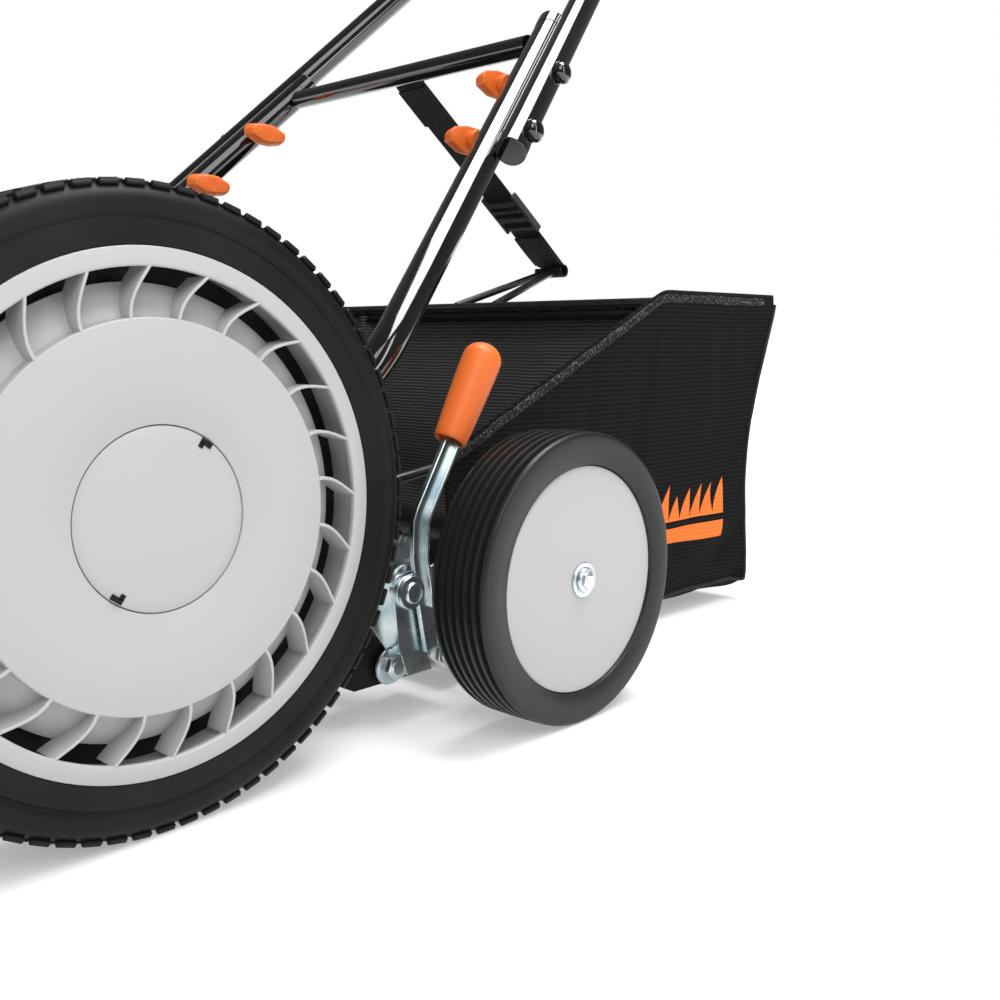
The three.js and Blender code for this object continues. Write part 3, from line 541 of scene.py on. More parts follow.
def pivot_stud(bm):
    x = lever_x0 / MM
    turn(bm, [(0, -4.6 + x), (7.4, -4.6 + x), (7.4, x - 0.4), (4.9, x - 0.4), (4.9, x + 3.4), (8.4, x + 3.4),
              (8.8, x + 4.0), (8.2, x + 5.0), (5.6, x + 5.4), (5.2, x + 6.6), (4.4, x + 7.1), (0, x + 7.2)],
         pivot, 40)
    close_up(bm)


both_sides("folded_bracket", height_bracket, zinc, "chassis", "zinc_plate", ["height_bracket"], bevel=0.0004,
           smooth=30)
both_sides("pivot_stud", pivot_stud, zinc, "chassis", "zinc_plate", smooth=40)


def bar_outline(points, widths):
    """Outline of a bar through [y, z] points in metres, with its half width in mm at each."""
    sides = ([], [])
    for i, (y, z) in enumerate(points):
        ahead, behind = points[min(i + 1, len(points) - 1)], points[max(i - 1, 0)]
        along = Vector((ahead[0] - behind[0], ahead[1] - behind[1])).normalized()
        for side, sign in zip(sides, (1, -1)):
            side.append((y - sign * along.y * widths[i] * MM, z + sign * along.x * widths[i] * MM))
    return sides[0] + sides[1][::-1]


lever_bend, lever_tip = at(157, 104), at(206, 187)


def height_lever(bm):
    """Arm to the wheel, then the bar with one long edge folded out for stiffness."""
    x0, x1 = lever_x0, lever_x1
    arm = arc(pivot, 8.6, 95, 268, 12) + arc(rear_axis, 12.5, -84, 90, 12)
    prism(bm, arm, x0 - 0.0004, x1 - 0.0006)
    knee = (lever_bend[0] + 0.0022, lever_bend[1] + 0.0050)
    route = [at(165.5, 36), at(161, 60), at(156.5, 86), lever_bend, knee, lever_tip]
    prism(bm, bar_outline(route, [4.6, 4.6, 4.2, 3.9, 3.8, 3.6]), x0, x1)
    rear_edge = [(y + 0.0034, z - 0.0012) for y, z in route]
    prism(bm, bar_outline(rear_edge[1:], [0.9] * 5), x0 - 0.0002, x0 + 0.0062)
    close_up(bm)


both_sides("spring_lever", height_lever, zinc, "SIDE_height", "zinc_plate", ["height_lever"], bevel=0.0006,
           smooth=30)

orange = hard_finish("orange_plastic", (0.72, 0.142, 0.020), bump=0.10, specular=0.35, Cloud=0.06,
                     Dusting=0.0, Roughness=0.36, Spread=0.12, Grain=1000.0, Cloud_Size=30.0)
grip_low, grip_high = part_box("left_lever_grip")
grip_r = (grip_high.x - grip_low.x) / 2 / MM
grip_length = 57.0


def lever_grip(bm):
    """A tapered handle with a domed end and a hollow mouth round the lever."""
    dome = [(grip_r * math.cos(a), grip_length - 9.5 + 9.5 * math.sin(a)) for a in
            [math.radians(15 * i) for i in range(6)]]
    outline = [(0, 5), (6.2, 5), (6.9, 0.6), (7.4, 0), (8.2, 0), (8.7, 0.7), (9.0, 3), (9.6, 16), (10.3, 32)]
    outline += dome + [(0, grip_length)]
    verts = [bm.verts.new((r * MM, 0, y * MM)) for r, y in outline]
    edges = [bm.edges.new(pair) for pair in zip(verts, verts[1:])]
    bmesh.ops.spin(bm, geom=verts + edges, cent=(0, 0, 0), axis=(0, 0, 1), angle=math.tau, steps=48,
                   use_merge=True)
    close_up(bm)
    along = Vector((0, lever_tip[0] - lever_bend[0], lever_tip[1] - lever_bend[1])).normalized()
    middle = (grip_low.x + grip_high.x) / 2
    mouth = Vector((middle, *lever_tip)) - along * (grip_length - 6) * MM
    stand = along.to_track_quat("Z", "X").to_matrix().to_4x4()
    bmesh.ops.transform(bm, matrix=Matrix.Translation(mouth) @ stand, verts=bm.verts)


both_sides("orange_grip", lever_grip, orange, "SIDE_height", "orange_plastic", ["lever_grip"], smooth=50,
           subdivide=1)

# --- Chassis and reel ---------------------------------------------------------------------
# Black-painted steel side plates, tie rods and reel spiders; ground blades and bed
# knife with bright cutting edges. The CAD shapes stay and get rounded edges.
gloss_black = hard_finish("black_paint", (0.0020, 0.0021, 0.0024), bump=0.01, coat=0.8, specular=0.6,
                          Cloud=0.3, Dusting=0.008, Roughness=0.05, Spread=0.06, Grain=500.0, Cloud_Size=20.0)
satin_black = hard_finish("satin_paint", (0.0030, 0.0030, 0.0033), bump=0.05, specular=0.22, Cloud=0.3,
                          Dusting=0.02, Roughness=0.42, Spread=0.15, Grain=600.0, Cloud_Size=25.0)
blade_steel = hard_finish("blade_steel", (0.34, 0.35, 0.36), bump=0.15, metallic=1.0, Cloud=0.25,
                          Dusting=0.12, Roughness=0.30, Spread=0.25, Grain=450.0, Cloud_Size=40.0)
nylon = hard_finish("black_nylon", (0.016, 0.016, 0.017), Roughness=0.5, Dusting=0.06)


def keep_cad(names, material, bevel=0.0008, smooth=35):
    """CAD nodes that stay: a new material and a rounded edge."""
    for name in names:
        node = nodes[name]
        node.data.materials.clear()
        node.data.materials.append(material)
        weld = node.modifiers.new("welded", "WELD")
        weld.merge_threshold = 1e-6
        rounded = node.modifiers.new("rounded_edges", "BEVEL")
        rounded.width = bevel
        rounded.segments = 2
        rounded.limit_method = "ANGLE"
        rounded.angle_limit = math.radians(smooth)


sides = ("left", "right")
keep_cad([f"{side}_side_plate" for side in sides] + ["bed_bar"], satin_black)
keep_cad(["bed_knife"] + [f"reel_blade_{i}" for i in range(1, 6)], blade_steel, bevel=0.0004)
keep_cad([f"{side}_gear_ring" for side in sides], nylon, bevel=0.0002)
keep_cad([f"{side}_{part}" for side in sides for part in ("pinion", "reel_bearing")], blade_steel,
         bevel=0.0002)
keep_cad([f"{side}_{part}" for side in sides for part in ("front_axle", "handle_pivot_bolt")], zinc,
         bevel=0.0004)
keep_cad(["reel_shaft_and_spiders", "front_tie_rod", "rear_tie_rod"], gloss_black, bevel=0.0003)

# --- Folding handle -----------------------------------------------------------------------
# Gloss-black steel tube: two lower legs pivot on the side plates and lean inwards, and
# the upper loop is clamped to them with carriage bolts and orange wing knobs.
tube_r = 9.5
handle_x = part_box("left_lower_handle_tube")[1].x / MM - tube_r
slope, toe, bend_z = 1.044, 0.3682, 191.0
leg_top = 408.0
bolt_heights = {"lower": 318.0, "upper": 361.0}


def on_handle(z, out=0.0):
    """A point in metres on a lower leg's middle line at height z in mm, moved outwards by out mm."""
    return Vector(((handle_x - max(0.0, z - bend_z) * toe + out) * MM, *at(80.3 + (z - 110) * slope, z)))


def rounded_route(points, corner, steps=8):
    """A route in metres whose inner corners are replaced by smooth bends."""
    route = [points[0]]
    for before, here, after in zip(points, points[1:], points[2:]):
        start = here + (before - here).normalized() * corner
        end = here + (after - here).normalized() * corner
        for step in range(steps + 1):
            t = step / steps
            route.append(start * (1 - t) ** 2 + here * 2 * t * (1 - t) + end * t ** 2)
    return route + [points[-1]]


def pipe(bm, route, r, sides=28, closed_ends=True):
    """A round bar along a route in metres; r in mm. The section is extruded from point to point."""
    along = [(b - a).normalized() for a, b in zip(route, route[1:])]
    along = [along[0]] + [(a + b).normalized() for a, b in zip(along, along[1:])] + [along[-1]]
    turned = along[0].to_track_quat("Z", "Y")
    ring = bmesh.ops.create_circle(bm, cap_ends=closed_ends, segments=sides, radius=r * MM,
                                   matrix=Matrix.Translation(route[0]) @ turned.to_matrix().to_4x4())["verts"]
    edges = list({edge for vert in ring for edge in vert.link_edges})
    for here, there, before, after in zip(route, route[1:], along, along[1:]):
        grown = bmesh.ops.extrude_edge_only(bm, edges=edges)["geom"]
        verts = [item for item in grown if isinstance(item, bmesh.types.BMVert)]
        edges = [item for item in grown if isinstance(item, bmesh.types.BMEdge)]
        swing = before.rotation_difference(after).to_matrix().to_4x4()
        move = Matrix.Translation(there) @ swing @ Matrix.Translation(-here)
        bmesh.ops.transform(bm, matrix=move, verts=verts)
    if closed_ends:
        bmesh.ops.edgeloop_fill(bm, edges=edges)


def lower_leg(bm):
    foot = on_handle(100.3)
    pipe(bm, rounded_route([foot, on_handle(bend_z), on_handle(leg_top)], 0.014), tube_r)
    cap = on_handle(leg_top)
    down = (on_handle(leg_top) - on_handle(leg_top - 10)).normalized()
    pipe(bm, [cap - down * 0.010, cap + down * 0.0006, cap + down * 0.0018], tube_r + 0.35)
    close_up(bm)


both_sides("lower_leg", lower_leg, gloss_black, "handle", "black_paint", ["lower_handle_tube"], smooth=40,
           bevel=0.0006)

bar_y, bar_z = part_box("foam_grip")[0].lerp(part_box("foam_grip")[1], 0.5).yz
upper_offset = 2 * tube_r + 1.6


def mirrored(points):
    return points + [Vector((-p.x, p.y, p.z)) for p in reversed(points)]


bm = bmesh.new()
shoulder = Vector((0.205, *at(80.3 + (880 - 110) * slope, 880)))
upper_route = mirrored([on_handle(306, upper_offset), on_handle(616, upper_offset), shoulder,
                        Vector((0.200, bar_y, bar_z))])
pipe(bm, rounded_route(upper_route, 0.050, 10), tube_r)
for sign in (1, -1):
    end = on_handle(306, upper_offset)
    up = (on_handle(316, upper_offset) - end).normalized()
    mirror = Matrix.Diagonal((sign, 1, 1))
    ferrule = [end + up * 0.009, end - up * 0.0004, end - up * 0.0016]
    pipe(bm, [mirror @ point for point in ferrule], tube_r + 0.35)
close_up(bm)
finish_piece("upper_loop", bm, gloss_black, "handle", "black_paint", ["upper_handle"], smooth=40,
             bevel=0.0006)

bm = bmesh.new()
cross_low, cross_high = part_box("handle_crossbar")
cross_y, cross_z = cross_low.lerp(cross_high, 0.5).yz
pipe(bm, [Vector((x, cross_y, cross_z)) for x in (cross_low.x, cross_low.x + 0.001, cross_high.x - 0.001,
                                                  cross_high.x)], 7)
close_up(bm)
finish_piece("round_crossbar", bm, gloss_black, "handle", "black_paint", ["handle_crossbar"], smooth=40)

# The hand grip is a closed-cell foam sleeve with soft rounded ends.
foam = hard_finish("closed_cell_foam", (0.018, 0.018, 0.0185), bump=0.55, specular=0.25, Cloud=0.35,
                   Dusting=0.03, Roughness=0.82, Spread=0.1, Grain=900.0, Cloud_Size=40.0)
bm = bmesh.new()
foam_r, foam_half = 15.0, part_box("foam_grip")[1].x / MM
end_round = [(foam_r - 3.2 * (1 - math.cos(a)), foam_half - 3.2 * (1 - math.sin(a))) for a in
             [math.radians(18 * i) for i in range(6)]]
sleeve = [(tube_r + 0.3, foam_half)] + list(reversed(end_round))
middle = [(foam_r - 0.25 + 0.25 * math.cos(i * 1.7), foam_half * (1 - i / 12)) for i in range(1, 24)]
turn(bm, sleeve + middle + [(r, -x) for r, x in reversed(sleeve)], (bar_y, bar_z), 56)
close_up(bm)
finish_piece("foam_sleeve", bm, foam, "handle", "foam", ["foam_grip"], smooth=60)


def clamp_bolt(level):
    z = bolt_heights[level]

    def build(bm):
        inside, outside = on_handle(z), on_handle(z, upper_offset)
        x0, x1 = inside.x / MM - 25, outside.x / MM + 13.0
        spot = (inside.y, inside.z)
        turn(bm, [(0, x0), (2.4, x0), (3, x0 + 0.6), (3, x1), (6.4, x1), (6.4, x1 + 0.5), (5.6, x1 + 1.9),
                  (3.8, x1 + 3.0), (1.6, x1 + 3.4), (0, x1 + 3.4)], spot, 32)
        close_up(bm)
        # shaped spacers seat the round tubes on each other and under the head
        turn(bm, [(3.2, x1 - 3.2), (6.8, x1 - 3.2), (7.0, x1 - 0.1), (3.2, x1 - 0.1)], spot, 32)
        close_up(bm)
    return build


def wing_knob(level):
    low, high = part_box(f"left_{level}_wing_knob")
    z = bolt_heights[level]
    spot = on_handle(z)

    def build(bm):
        """A two-winged knob: a blunt bar with bevelled faces on a round boss."""
        x_out, x_in = high.x, low.x
        wing = ((-7.0, -8.2), (4, -9), (15.5, -7.2), (19, -3.4), (19, 2.2), (12, 5.6))
        outline = [(spot.y + y * side * MM, spot.z + z * side * MM) for side in (1, -1) for y, z in wing]
        moved = prism(bm, outline, x_out - 0.0055, x_in)
        inner_end = Vector((x_in, spot.y, spot.z))
        bmesh.ops.scale(bm, vec=(1, 0.84, 0.80), verts=moved, space=Matrix.Translation(-inner_end))
        close_up(bm)
        bmesh.ops.bevel(bm, geom=bm.edges[:], offset=0.0014, affect="EDGES", segments=3, profile=0.5,
                        material=-1)
        turn(bm, [(0, x_out / MM - 6), (6.2, x_out / MM - 6), (6.2, x_out / MM - 0.6), (5.6, x_out / MM),
                  (0, x_out / MM)], (spot.y, spot.z), 32)
        turn(bm, [(3.3, x_in / MM - 0.1), (5.2, x_in / MM - 0.1), (5.6, x_in / MM + 0.6),
                  (5.6, x_in / MM + 3), (3.3, x_in / MM + 3)], (spot.y, spot.z), 32)
    return build


for level in ("lower", "upper"):
    both_sides(f"{level}_carriage_bolt", clamp_bolt(level), gloss_black, "handle", "black_paint",
               [f"{level}_clamp_bolt"], smooth=35)
    both_sides(f"{level}_orange_knob", wing_knob(level), orange, f"SIDE_{level}_knob", "orange_plastic",
               [f"{level}_wing_knob"], smooth=45)

# --- Catcher frame ------------------------------------------------------------------------
# Bent 6 mm wire, dipped in black: a rim that hooks to the legs, a cross wire, and a
# bail whose point takes the strap.
bag_front, bag_rear, bag_foot = 200.0, 538.0, 517.0
bag_top, bag_mouth, bag_floor_z, bag_fold = 229.0, 133.0, 16.0, 398.0
wire_r = 3.0


def bag_x(y):
    """Outer half width of the bag in mm at y."""
    return 224 + 13 * (y - bag_front) / (bag_rear - bag_front)


def wire_z(y):
    return min(bag_top, bag_mouth + (y - bag_front) * (bag_top - bag_mouth) / (bag_fold - bag_front)) - 7


def spot_at(x, y, z):
    return Vector((x * MM, *at(y, z)))


inset = 3 + wire_r + 0.8
side_wire = [spot_at(handle_x, 160, wire_z(bag_front) - 26), spot_at(handle_x, 160, wire_z(bag_front) - 6),
             spot_at(bag_x(bag_front) - inset, bag_front, wire_z(bag_front)),
             spot_at(bag_x(bag_fold) - inset, bag_fold, wire_z(bag_fold)),
             spot_at(bag_x(bag_rear) - inset, bag_rear - 13, bag_top - 7)]
bm = bmesh.new()
pipe(bm, rounded_route(mirrored(side_wire), 0.009, 8), wire_r, 18)
cross_half = bag_x(455) - inset
pipe(bm, [spot_at(x, 455, bag_top - 7) for x in (-cross_half, 0, cross_half)], wire_r, 18)
bail = [spot_at(22, 455, bag_top - 6), spot_at(3, 554, 255)]
pipe(bm, rounded_route(mirrored(bail), 0.0029, 6), wire_r, 18)
close_up(bm)
dipped_wire = hard_finish("dipped_wire", (0.008, 0.008, 0.0085), bump=0.10, coat=0.2, Cloud=0.25,
                          Dusting=0.04, Roughness=0.24, Spread=0.14, Grain=420.0, Cloud_Size=25.0)
finish_piece("wire_frame", bm, dipped_wire, "catcher", "black_paint", ["catcher_frame"], smooth=60)

# --- Fabric catcher -----------------------------------------------------------------------
# One sewn shell of ribbed black mesh: two flared sides, a floor and a back that the
# tension draws in between its corners. It hangs from the wire by a rolled hem.
rib_pitch, rib_wander, knit_pitch = 0.0029, 0.0022, 0.0013


def ribbed_fabric(name, dark, light, printed=False):
    """Ribbed knit on the piece's own UV map, in metres along and across the ribs."""
    material, tree, shader, place = start_material(name, specular=0.10)
    along = node_of(tree, "ShaderNodeSeparateXYZ", Vector=tree.nodes.new("ShaderNodeUVMap").outputs[0])
    flow = node_of(tree, "ShaderNodeTexNoise", Vector=place, Scale=30.0, Detail=3.0)
    wander = calc(tree, "MULTIPLY_ADD", flow.outputs["Fac"], rib_wander, along.outputs["Y"])
    wave = calc(tree, "SINE", calc(tree, "MULTIPLY", wander, math.tau / rib_pitch))
    rib = node_of(tree, "ShaderNodeMapRange", Value=wave, From_Min=-1.0, From_Max=1.0)
    knit = calc(tree, "SINE", calc(tree, "MULTIPLY", along.outputs["X"], math.tau / knit_pitch))
    thread = calc(tree, "MULTIPLY_ADD", knit, 0.10, rib.outputs[0])
    fleck = node_of(tree, "ShaderNodeTexNoise", Vector=place, Scale=1500.0, Detail=2.0)
    mixed = calc(tree, "MULTIPLY", thread, fleck.outputs["Fac"])
    cloth_tone = node_of(tree, "ShaderNodeMix", data_type="RGBA", _0=mixed, _6=(*dark, 1),
                         _7=(*light, 1))
    colour = cloth_tone.outputs[2]
    if printed:
        colour = grass_print(tree, along.outputs["X"], along.outputs["Y"], colour)
    height = node_of(tree, "ShaderNodeBump", Strength=0.55, Distance=0.0007, Height=thread)
    rough = node_of(tree, "ShaderNodeMapRange", Value=fleck.outputs["Fac"], To_Min=0.62, To_Max=0.9)
    tree.links.new(colour, shader.inputs["Base Color"])
    tree.links.new(rough.outputs[0], shader.inputs["Roughness"])
    tree.links.new(height.outputs["Normal"], shader.inputs["Normal"])
    return material


def grass_print(tree, u, v, ground_colour):
    """Screen print in orange: a tuft of leaning grass blades over one tapered bar."""
    def work(kind, *values):
        return calc(tree, kind, *values)

    base, first, last, pitch = 0.072, 0.345, 0.474, 0.0125
    rise = work("MAXIMUM", work("SUBTRACT", v, base), 0.0)
    lean = work("MULTIPLY", work("MULTIPLY", rise, rise), -9.0)
    leaned = work("ADD", u, lean)
    blade = work("FLOOR", work("DIVIDE", leaned, pitch))
    length = node_of(tree, "ShaderNodeTexWhiteNoise", noise_dimensions="1D", W=blade).outputs["Value"]
    reach = work("MULTIPLY_ADD", length, 0.016, 0.015)
    across = work("DIVIDE", work("PINGPONG", leaned, pitch / 2), pitch / 2)
    within = work("GREATER_THAN", work("MULTIPLY", work("POWER", across, 0.75), reach), rise)
    grass = work("MULTIPLY", within, work("GREATER_THAN", v, base))
    bar = work("MULTIPLY", work("GREATER_THAN", v, work("MULTIPLY_ADD", u, -0.03, 0.069)),
               work("LESS_THAN", v, 0.067))
    inside = work("MULTIPLY", work("GREATER_THAN", u, first), work("LESS_THAN", u, last))
    ink = work("MULTIPLY", inside, work("MAXIMUM", grass, bar))
    return node_of(tree, "ShaderNodeMix", data_type="RGBA", _0=ink, _6=ground_colour,
                   _7=(0.84, 0.185, 0.035, 1)).outputs[2]


outer_fabric = ribbed_fabric("ribbed_mesh_outside", (0.0030, 0.0030, 0.0033), (0.0165, 0.0165, 0.0172))
# painted light: the inside face of the same black mesh is coloured several times lighter, for the brightness
# inside the bag
lit_inside_fabric = ribbed_fabric("ribbed_mesh_inside", (0.030, 0.029, 0.0305), (0.135, 0.130, 0.136))
side_fabric = ribbed_fabric("ribbed_mesh_printed", (0.0030, 0.0030, 0.0033), (0.0165, 0.0165, 0.0172),
                            printed=True)
binding = hard_finish("hem_binding", (0.0055, 0.0055, 0.006), bump=0.4, specular=0.3, Cloud=0.3, Dusting=0.02,
                      Roughness=0.6, Spread=0.15, Grain=1600.0, Cloud_Size=60.0)

along_cells, up_cells, across_cells = 44, 28, 58
hem_in = inset - 2.2


def hem_z(y):
    return wire_z(y) + 7


def back_y(z):
    """The drawn-in rear edge of the bag in mm at height z."""
    t = (z - bag_floor_z) / (bag_top - bag_floor_z)
    drawn = math.sin(math.pi * min(1.0, t * 1.06) ** 0.9)
    return bag_foot + (bag_rear - bag_foot) * t - 25.5 * drawn


def side_point(s, t):
    foot_y = bag_front + s * (bag_foot - bag_front)
    top_y = bag_front + s * (bag_rear - bag_front)
    top_z = hem_z(top_y) - 1.2
    z = bag_floor_z + (top_z - bag_floor_z) * t
    y = foot_y + (top_y - foot_y) * t
    edge_y = bag_foot + (bag_rear - bag_foot) * t
    y += (back_y(z) - edge_y) * s ** 2.2
    x = bag_x(y) - 1.6 - (hem_in - 1.6) * t ** 6
    return Vector((x * MM, *at(y, z))), (y * MM, z * MM)


def back_point(u, t):
    z = bag_floor_z + (bag_top - 1.2 - bag_floor_z) * t
    corner = side_point(1.0, t)[0]
    dip = 5.0 * (1 - u * u) * math.sin(math.pi * t)
    return Vector((corner.x * u, corner.y - dip * MM, corner.z)), (corner.x * u, z * MM)


def floor_point(u, s):
    corner = side_point(s, 0.0)[0]
    return Vector((corner.x * u, corner.y, corner.z)), (corner.x * u, corner.y - front_y)


def panel(bm, uv_map, columns, rows, place, material_index, flip):
    """A grid of cloth: place(a, b) gives a point and its UV for a and b from 0 to 1."""
    made = bmesh.ops.create_grid(bm, x_segments=columns, y_segments=rows, size=0.5)["verts"]
    spots = {vert: (vert.co.x + 0.5, vert.co.y + 0.5) for vert in made}
    faces = {face for vert in made for face in vert.link_faces}
    for face in faces:
        face.material_index = material_index
        face.smooth = True
        for loop in face.loops:
            loop[uv_map].uv = place(*spots[loop.vert])[1]
    for vert, (a, b) in spots.items():
        vert.co = place(a, b)[0]
    if flip:
        bmesh.ops.reverse_faces(bm, faces=list(faces))
    return faces


bm = bmesh.new()
uv_map = bm.loops.layers.uv.new("cloth")
panel(bm, uv_map, along_cells, up_cells, side_point, 2, False)
right_side = panel(bm, uv_map, along_cells, up_cells, side_point, 2, True)
for vert in {vert for face in right_side for vert in face.verts}:
    vert.co.x = -vert.co.x
panel(bm, uv_map, across_cells, up_cells, lambda a, b: back_point(2 * a - 1, b), 0, False)
panel(bm, uv_map, across_cells, along_cells, lambda a, b: floor_point(2 * a - 1, b), 0, True)
bmesh.ops.remove_doubles(bm, verts=bm.verts, dist=2e-5)
bmesh.ops.recalc_face_normals(bm, faces=bm.faces)
low_faces = [face for face in bm.faces if face.calc_center_median().z < ground + 0.02]
outwards = sum(face.normal.z * face.calc_area() for face in low_faces)
if outwards > 0:
    bmesh.ops.reverse_faces(bm, faces=bm.faces)
flat_area = sum(face.calc_area() for face in bm.faces)
bag_mesh = bpy.data.meshes.new("bag_shell")
bm.to_mesh(bag_mesh)
bm.free()
for material in (outer_fabric, lit_inside_fabric, side_fabric, lit_inside_fabric):
    bag_mesh.materials.append(material)
bag = bpy.data.objects.new("bag_shell", bag_mesh)
bpy.context.scene.collection.objects.link(bag)

# The hem and the front edge are held, and the rest settles under its own weight.
held = bag.vertex_groups.new(name="held")
for vert in bag_mesh.vertices:
    y, z = (vert.co.y - front_y) / MM, (vert.co.z - ground) / MM
    at_hem = z > hem_z(y) - 4.5
    at_mouth = y < bag_front + 2
    rear_corner = y > back_y(z) - 2 and abs(vert.co.x) / MM > bag_x(y) - 8
    weight = 1.0 if at_hem or at_mouth else 0.82 if rear_corner else 0.0
    if weight:
        held.add([vert.index], weight, "REPLACE")
sag_limit = 0.009
pattern = KDTree(len(bag_mesh.vertices))
for vert in bag_mesh.vertices:
    pattern.insert(vert.co, vert.index)
pattern.balance()
sewn_to = {vert.index: [] for vert in bag_mesh.vertices}
for edge in bag_mesh.edges:
    first, second = edge.vertices
    sewn_to[first].append(second)
    sewn_to[second].append(first)
cloth = bag.modifiers.new("cloth", "CLOTH")
cloth.settings.quality = 6
cloth.settings.mass = 0.12
cloth.settings.tension_stiffness = cloth.settings.compression_stiffness = 12
cloth.settings.shear_stiffness = 4
cloth.settings.bending_stiffness = 0.15
cloth.settings.vertex_group_mass = "held"
cloth.settings.shrink_min = -0.012
cloth.collision_settings.use_collision = False
cloth.collision_settings.use_self_collision = False
for step in range(1, 27):
    bpy.context.scene.frame_set(step)
settled = bag.evaluated_get(bpy.context.evaluated_depsgraph_get()).data
moved = [settled.vertices[i].co - vert.co for i, vert in enumerate(bag_mesh.vertices)]
bag.modifiers.remove(cloth)
bpy.context.scene.frame_set(1)
for vert, move in zip(bag_mesh.vertices, moved):
    most = min(sag_limit, max(0.0, (hem_z((vert.co.y - front_y) / MM) * MM - vert.co.z + ground) * 0.4))
    vert.co += move * min(1.0, most / max(move.length, 1e-9))

wall = bag.modifiers.new("cloth_thickness", "SOLIDIFY")
wall.thickness = 0.0011
wall.offset = -1
# the inner face of the cloth takes the lighter inside colour, which is painted light
wall.material_offset = 1
finer = bag.modifiers.new("finer", "SUBSURF")
finer.levels = finer.render_levels = 1
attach(bag, "catcher")
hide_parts("bag_floor", "bag_back", "left_bag_side", "right_bag_side")

# Rolled hem round the wire, a bound band under it at the back, and a corded seam at
# each corner of the shell.
hem_route = [spot_at(bag_x(bag_front) - inset, bag_front - 1, wire_z(bag_front) - 0.5)]
hem_route += [spot_at(bag_x(y) - inset, y, wire_z(y)) for y in (bag_fold, bag_rear - 13)]
bm = bmesh.new()
route = rounded_route(mirrored(hem_route), 0.009, 6)
dense = [route[0]]
for a, b in zip(route, route[1:]):
    count = max(1, round((b - a).length / 0.008))
    dense += [a.lerp(b, (i + 1) / count) for i in range(count)]
puckered = random.Random(7)
dense[1:-1] = [p + Vector([puckered.uniform(-0.0003, 0.0003) for direction in range(3)])
               for p in dense[1:-1]]
pipe(bm, dense, 3.6, 14)
close_up(bm)
# Rolled tight over the wire, the mesh shows its light threads as flecks.
hem_fabric, hem_tree, hem_shader, hem_place = start_material("rolled_mesh", specular=0.25)
hem_fleck = node_of(hem_tree, "ShaderNodeTexVoronoi", Vector=hem_place, Scale=620.0)
hem_light = node_of(hem_tree, "ShaderNodeMapRange", Value=hem_fleck.outputs["Distance"], From_Min=0.10,
                    From_Max=0.42, To_Min=1.0, To_Max=0.0)
hem_colour = node_of(hem_tree, "ShaderNodeMix", data_type="RGBA", _0=hem_light.outputs[0],
                     _6=(0.004, 0.004, 0.0045, 1), _7=(0.16, 0.16, 0.165, 1))
hem_bump = node_of(hem_tree, "ShaderNodeBump", Strength=0.6, Distance=0.0006, Height=hem_light.outputs[0])
hem_tree.links.new(hem_colour.outputs[2], hem_shader.inputs["Base Color"])
hem_tree.links.new(hem_bump.outputs["Normal"], hem_shader.inputs["Normal"])
hem_shader.inputs["Roughness"].default_value = 0.7
rolled_hem = finish_piece("rolled_hem", bm, hem_fabric, "catcher", "bag_fabric", smooth=80)

bm = bmesh.new()
for inward in (-1.7, 0.6):
    band = bmesh.ops.create_grid(bm, x_segments=across_cells, y_segments=3, size=0.5)["verts"]
    for vert in band:
        u, t = vert.co.x * 2, vert.co.y + 0.5
        edge = back_point(u * 0.985, 0.925 + 0.07 * t)[0]
        vert.co = edge + Vector((0, inward * MM, 0))
close_up(bm)
band = finish_piece("bound_band", bm, binding, "catcher", "bag_fabric", smooth=60)
thick = band.modifiers.new("thickness", "SOLIDIFY")
thick.thickness = 0.0008
thick.offset = 0


def along_seam(points):
    """The seam's line on the settled shell, drawn in as far as the shell's smoothing draws it."""
    line = []
    for point in points:
        vertex = pattern.find(point)[1]
        around = [bag_mesh.vertices[n].co for n in sewn_to[vertex]]
        middle = sum(around, Vector()) / len(around)
        line.append(bag_mesh.vertices[vertex].co.lerp(middle, 0.5))
    return line


bm = bmesh.new()
for mirror in (Matrix.Diagonal((1, 1, 1)), Matrix.Diagonal((-1, 1, 1))):
    upright = [mirror @ side_point(1.0, i / up_cells)[0] for i in range(up_cells)]
    lengthwise = [mirror @ side_point(i / along_cells, 0.0)[0] for i in range(along_cells + 1)]
    for seam in (upright, lengthwise):
        pipe(bm, along_seam(seam), 1.5, 10)
crosswise = [back_point(2 * i / across_cells - 1, 0.0)[0] for i in range(across_cells + 1)]
pipe(bm, along_seam(crosswise), 1.5, 10)
close_up(bm)
seams = finish_piece("corded_seams", bm, binding, "catcher", "bag_fabric", smooth=80)

# --- Catcher strap ------------------------------------------------------------------------
# Woven webbing from the bail up to the crossbar, doubled back through a moulded
# ladder buckle, with a sewn loop at each end.
webbing, web_tree, web_shader, web_place = start_material("woven_webbing", specular=0.25)
web_split = node_of(web_tree, "ShaderNodeSeparateXYZ", Vector=web_place)
weft_pitch, warp_pitch = 0.0016, 0.0022
weft = calc(web_tree, "SINE", calc(web_tree, "MULTIPLY", web_split.outputs["Z"], math.tau / weft_pitch))
warp = calc(web_tree, "SINE", calc(web_tree, "MULTIPLY", web_split.outputs["X"], math.tau / warp_pitch))
woven = calc(web_tree, "MULTIPLY", weft, warp)
web_tone = node_of(web_tree, "ShaderNodeMapRange", Value=woven, From_Min=-1.0, From_Max=1.0)
web_colour = node_of(web_tree, "ShaderNodeMix", data_type="RGBA", _0=web_tone.outputs[0],
                     _6=(0.004, 0.004, 0.0044, 1), _7=(0.017, 0.017, 0.018, 1))
web_bump = node_of(web_tree, "ShaderNodeBump", Strength=0.5, Distance=0.0005, Height=woven)
web_tree.links.new(web_colour.outputs[2], web_shader.inputs["Base Color"])
web_tree.links.new(web_bump.outputs["Normal"], web_shader.inputs["Normal"])
web_shader.inputs["Roughness"].default_value = 0.72

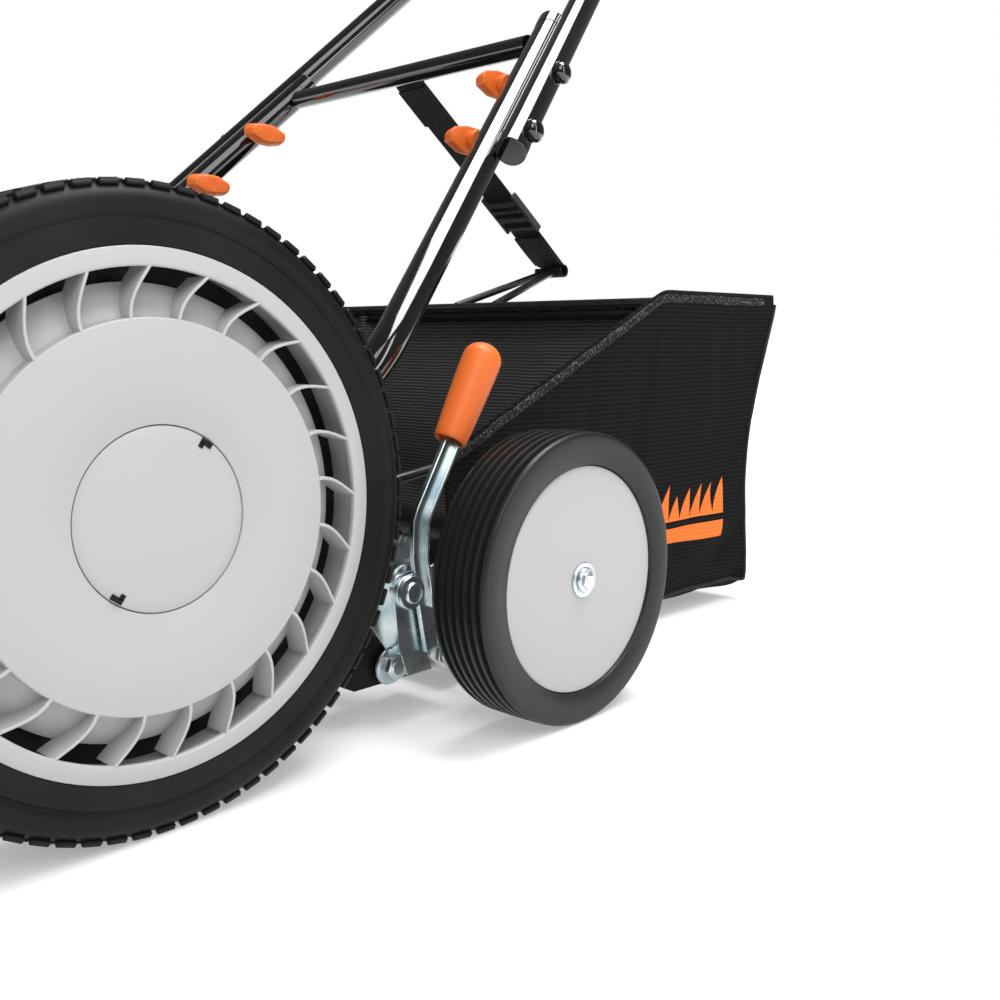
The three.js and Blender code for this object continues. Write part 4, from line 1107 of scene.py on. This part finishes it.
strap_half = 15.0
strap_foot, strap_head = Vector(at(553, 260)), Vector(at(80.3 + (393 - 110) * slope + 7.5, 388))
strap_way = (strap_head - strap_foot).normalized()
strap_out = Vector((strap_way.y, -strap_way.x))


def strap_spot(along, out):
    """A [y, z] point along the strap in mm from its foot, out mm off its middle line."""
    return tuple(strap_foot + strap_way * along * MM + strap_out * out * MM)


strap_long = (strap_head - strap_foot).length / MM


def ribbon(bm, middle, half_width, thickness):
    """A flat band through [along, out] points in mm."""
    route = [strap_spot(*p) for p in middle]
    prism(bm, bar_outline(route, [thickness / 2] * len(route)), -half_width * MM, half_width * MM)


bm = bmesh.new()
bow = [(strap_long * i / 24, 0.9 * math.sin(math.pi * i / 24)) for i in range(25)]
ribbon(bm, bow, strap_half, 1.4)
ribbon(bm, [(3 + i * 4, -1.6 - 0.5 * math.sin(math.pi * i / 9)) for i in range(10)], strap_half, 1.3)
ribbon(bm, [(44 + i * 4, 2.2 + 1.6 * math.sin(math.pi * i / 8)) for i in range(9)], strap_half, 1.3)
ribbon(bm, [(strap_long - 40 + i * 4, -1.7) for i in range(10)], strap_half, 1.3)
bail_loop = arc(at(554, 255), 4.9, 150, 466, 20)
prism(bm, bar_outline(bail_loop, [0.7] * len(bail_loop)), -strap_half * MM, strap_half * MM)
close_up(bm)
finish_piece("webbing_strap", bm, webbing, "strap", "webbing", ["catcher_strap"], bevel=0.0003, smooth=40)

bm = bmesh.new()
for along, long, tall in ((62, 4.5, 5.6), (71, 3.2, 4.2), (80, 4.5, 5.2), (50, 3.0, 3.8)):
    prism(bm, bar_outline([strap_spot(along, -tall / 2), strap_spot(along, tall / 2 + 1.4)], [long / 2] * 2),
          -(strap_half + 2.5) * MM, (strap_half + 2.5) * MM)
for side in (1, -1):
    rail = bar_outline([strap_spot(46, 0.6), strap_spot(88, 0.6)], [3.0, 3.0])
    prism(bm, rail, side * (strap_half + 0.6) * MM, side * (strap_half + 3.4) * MM)
close_up(bm)
finish_piece("ladder_buckle", bm, nylon, "strap", "black_nylon", bevel=0.0006, smooth=35)
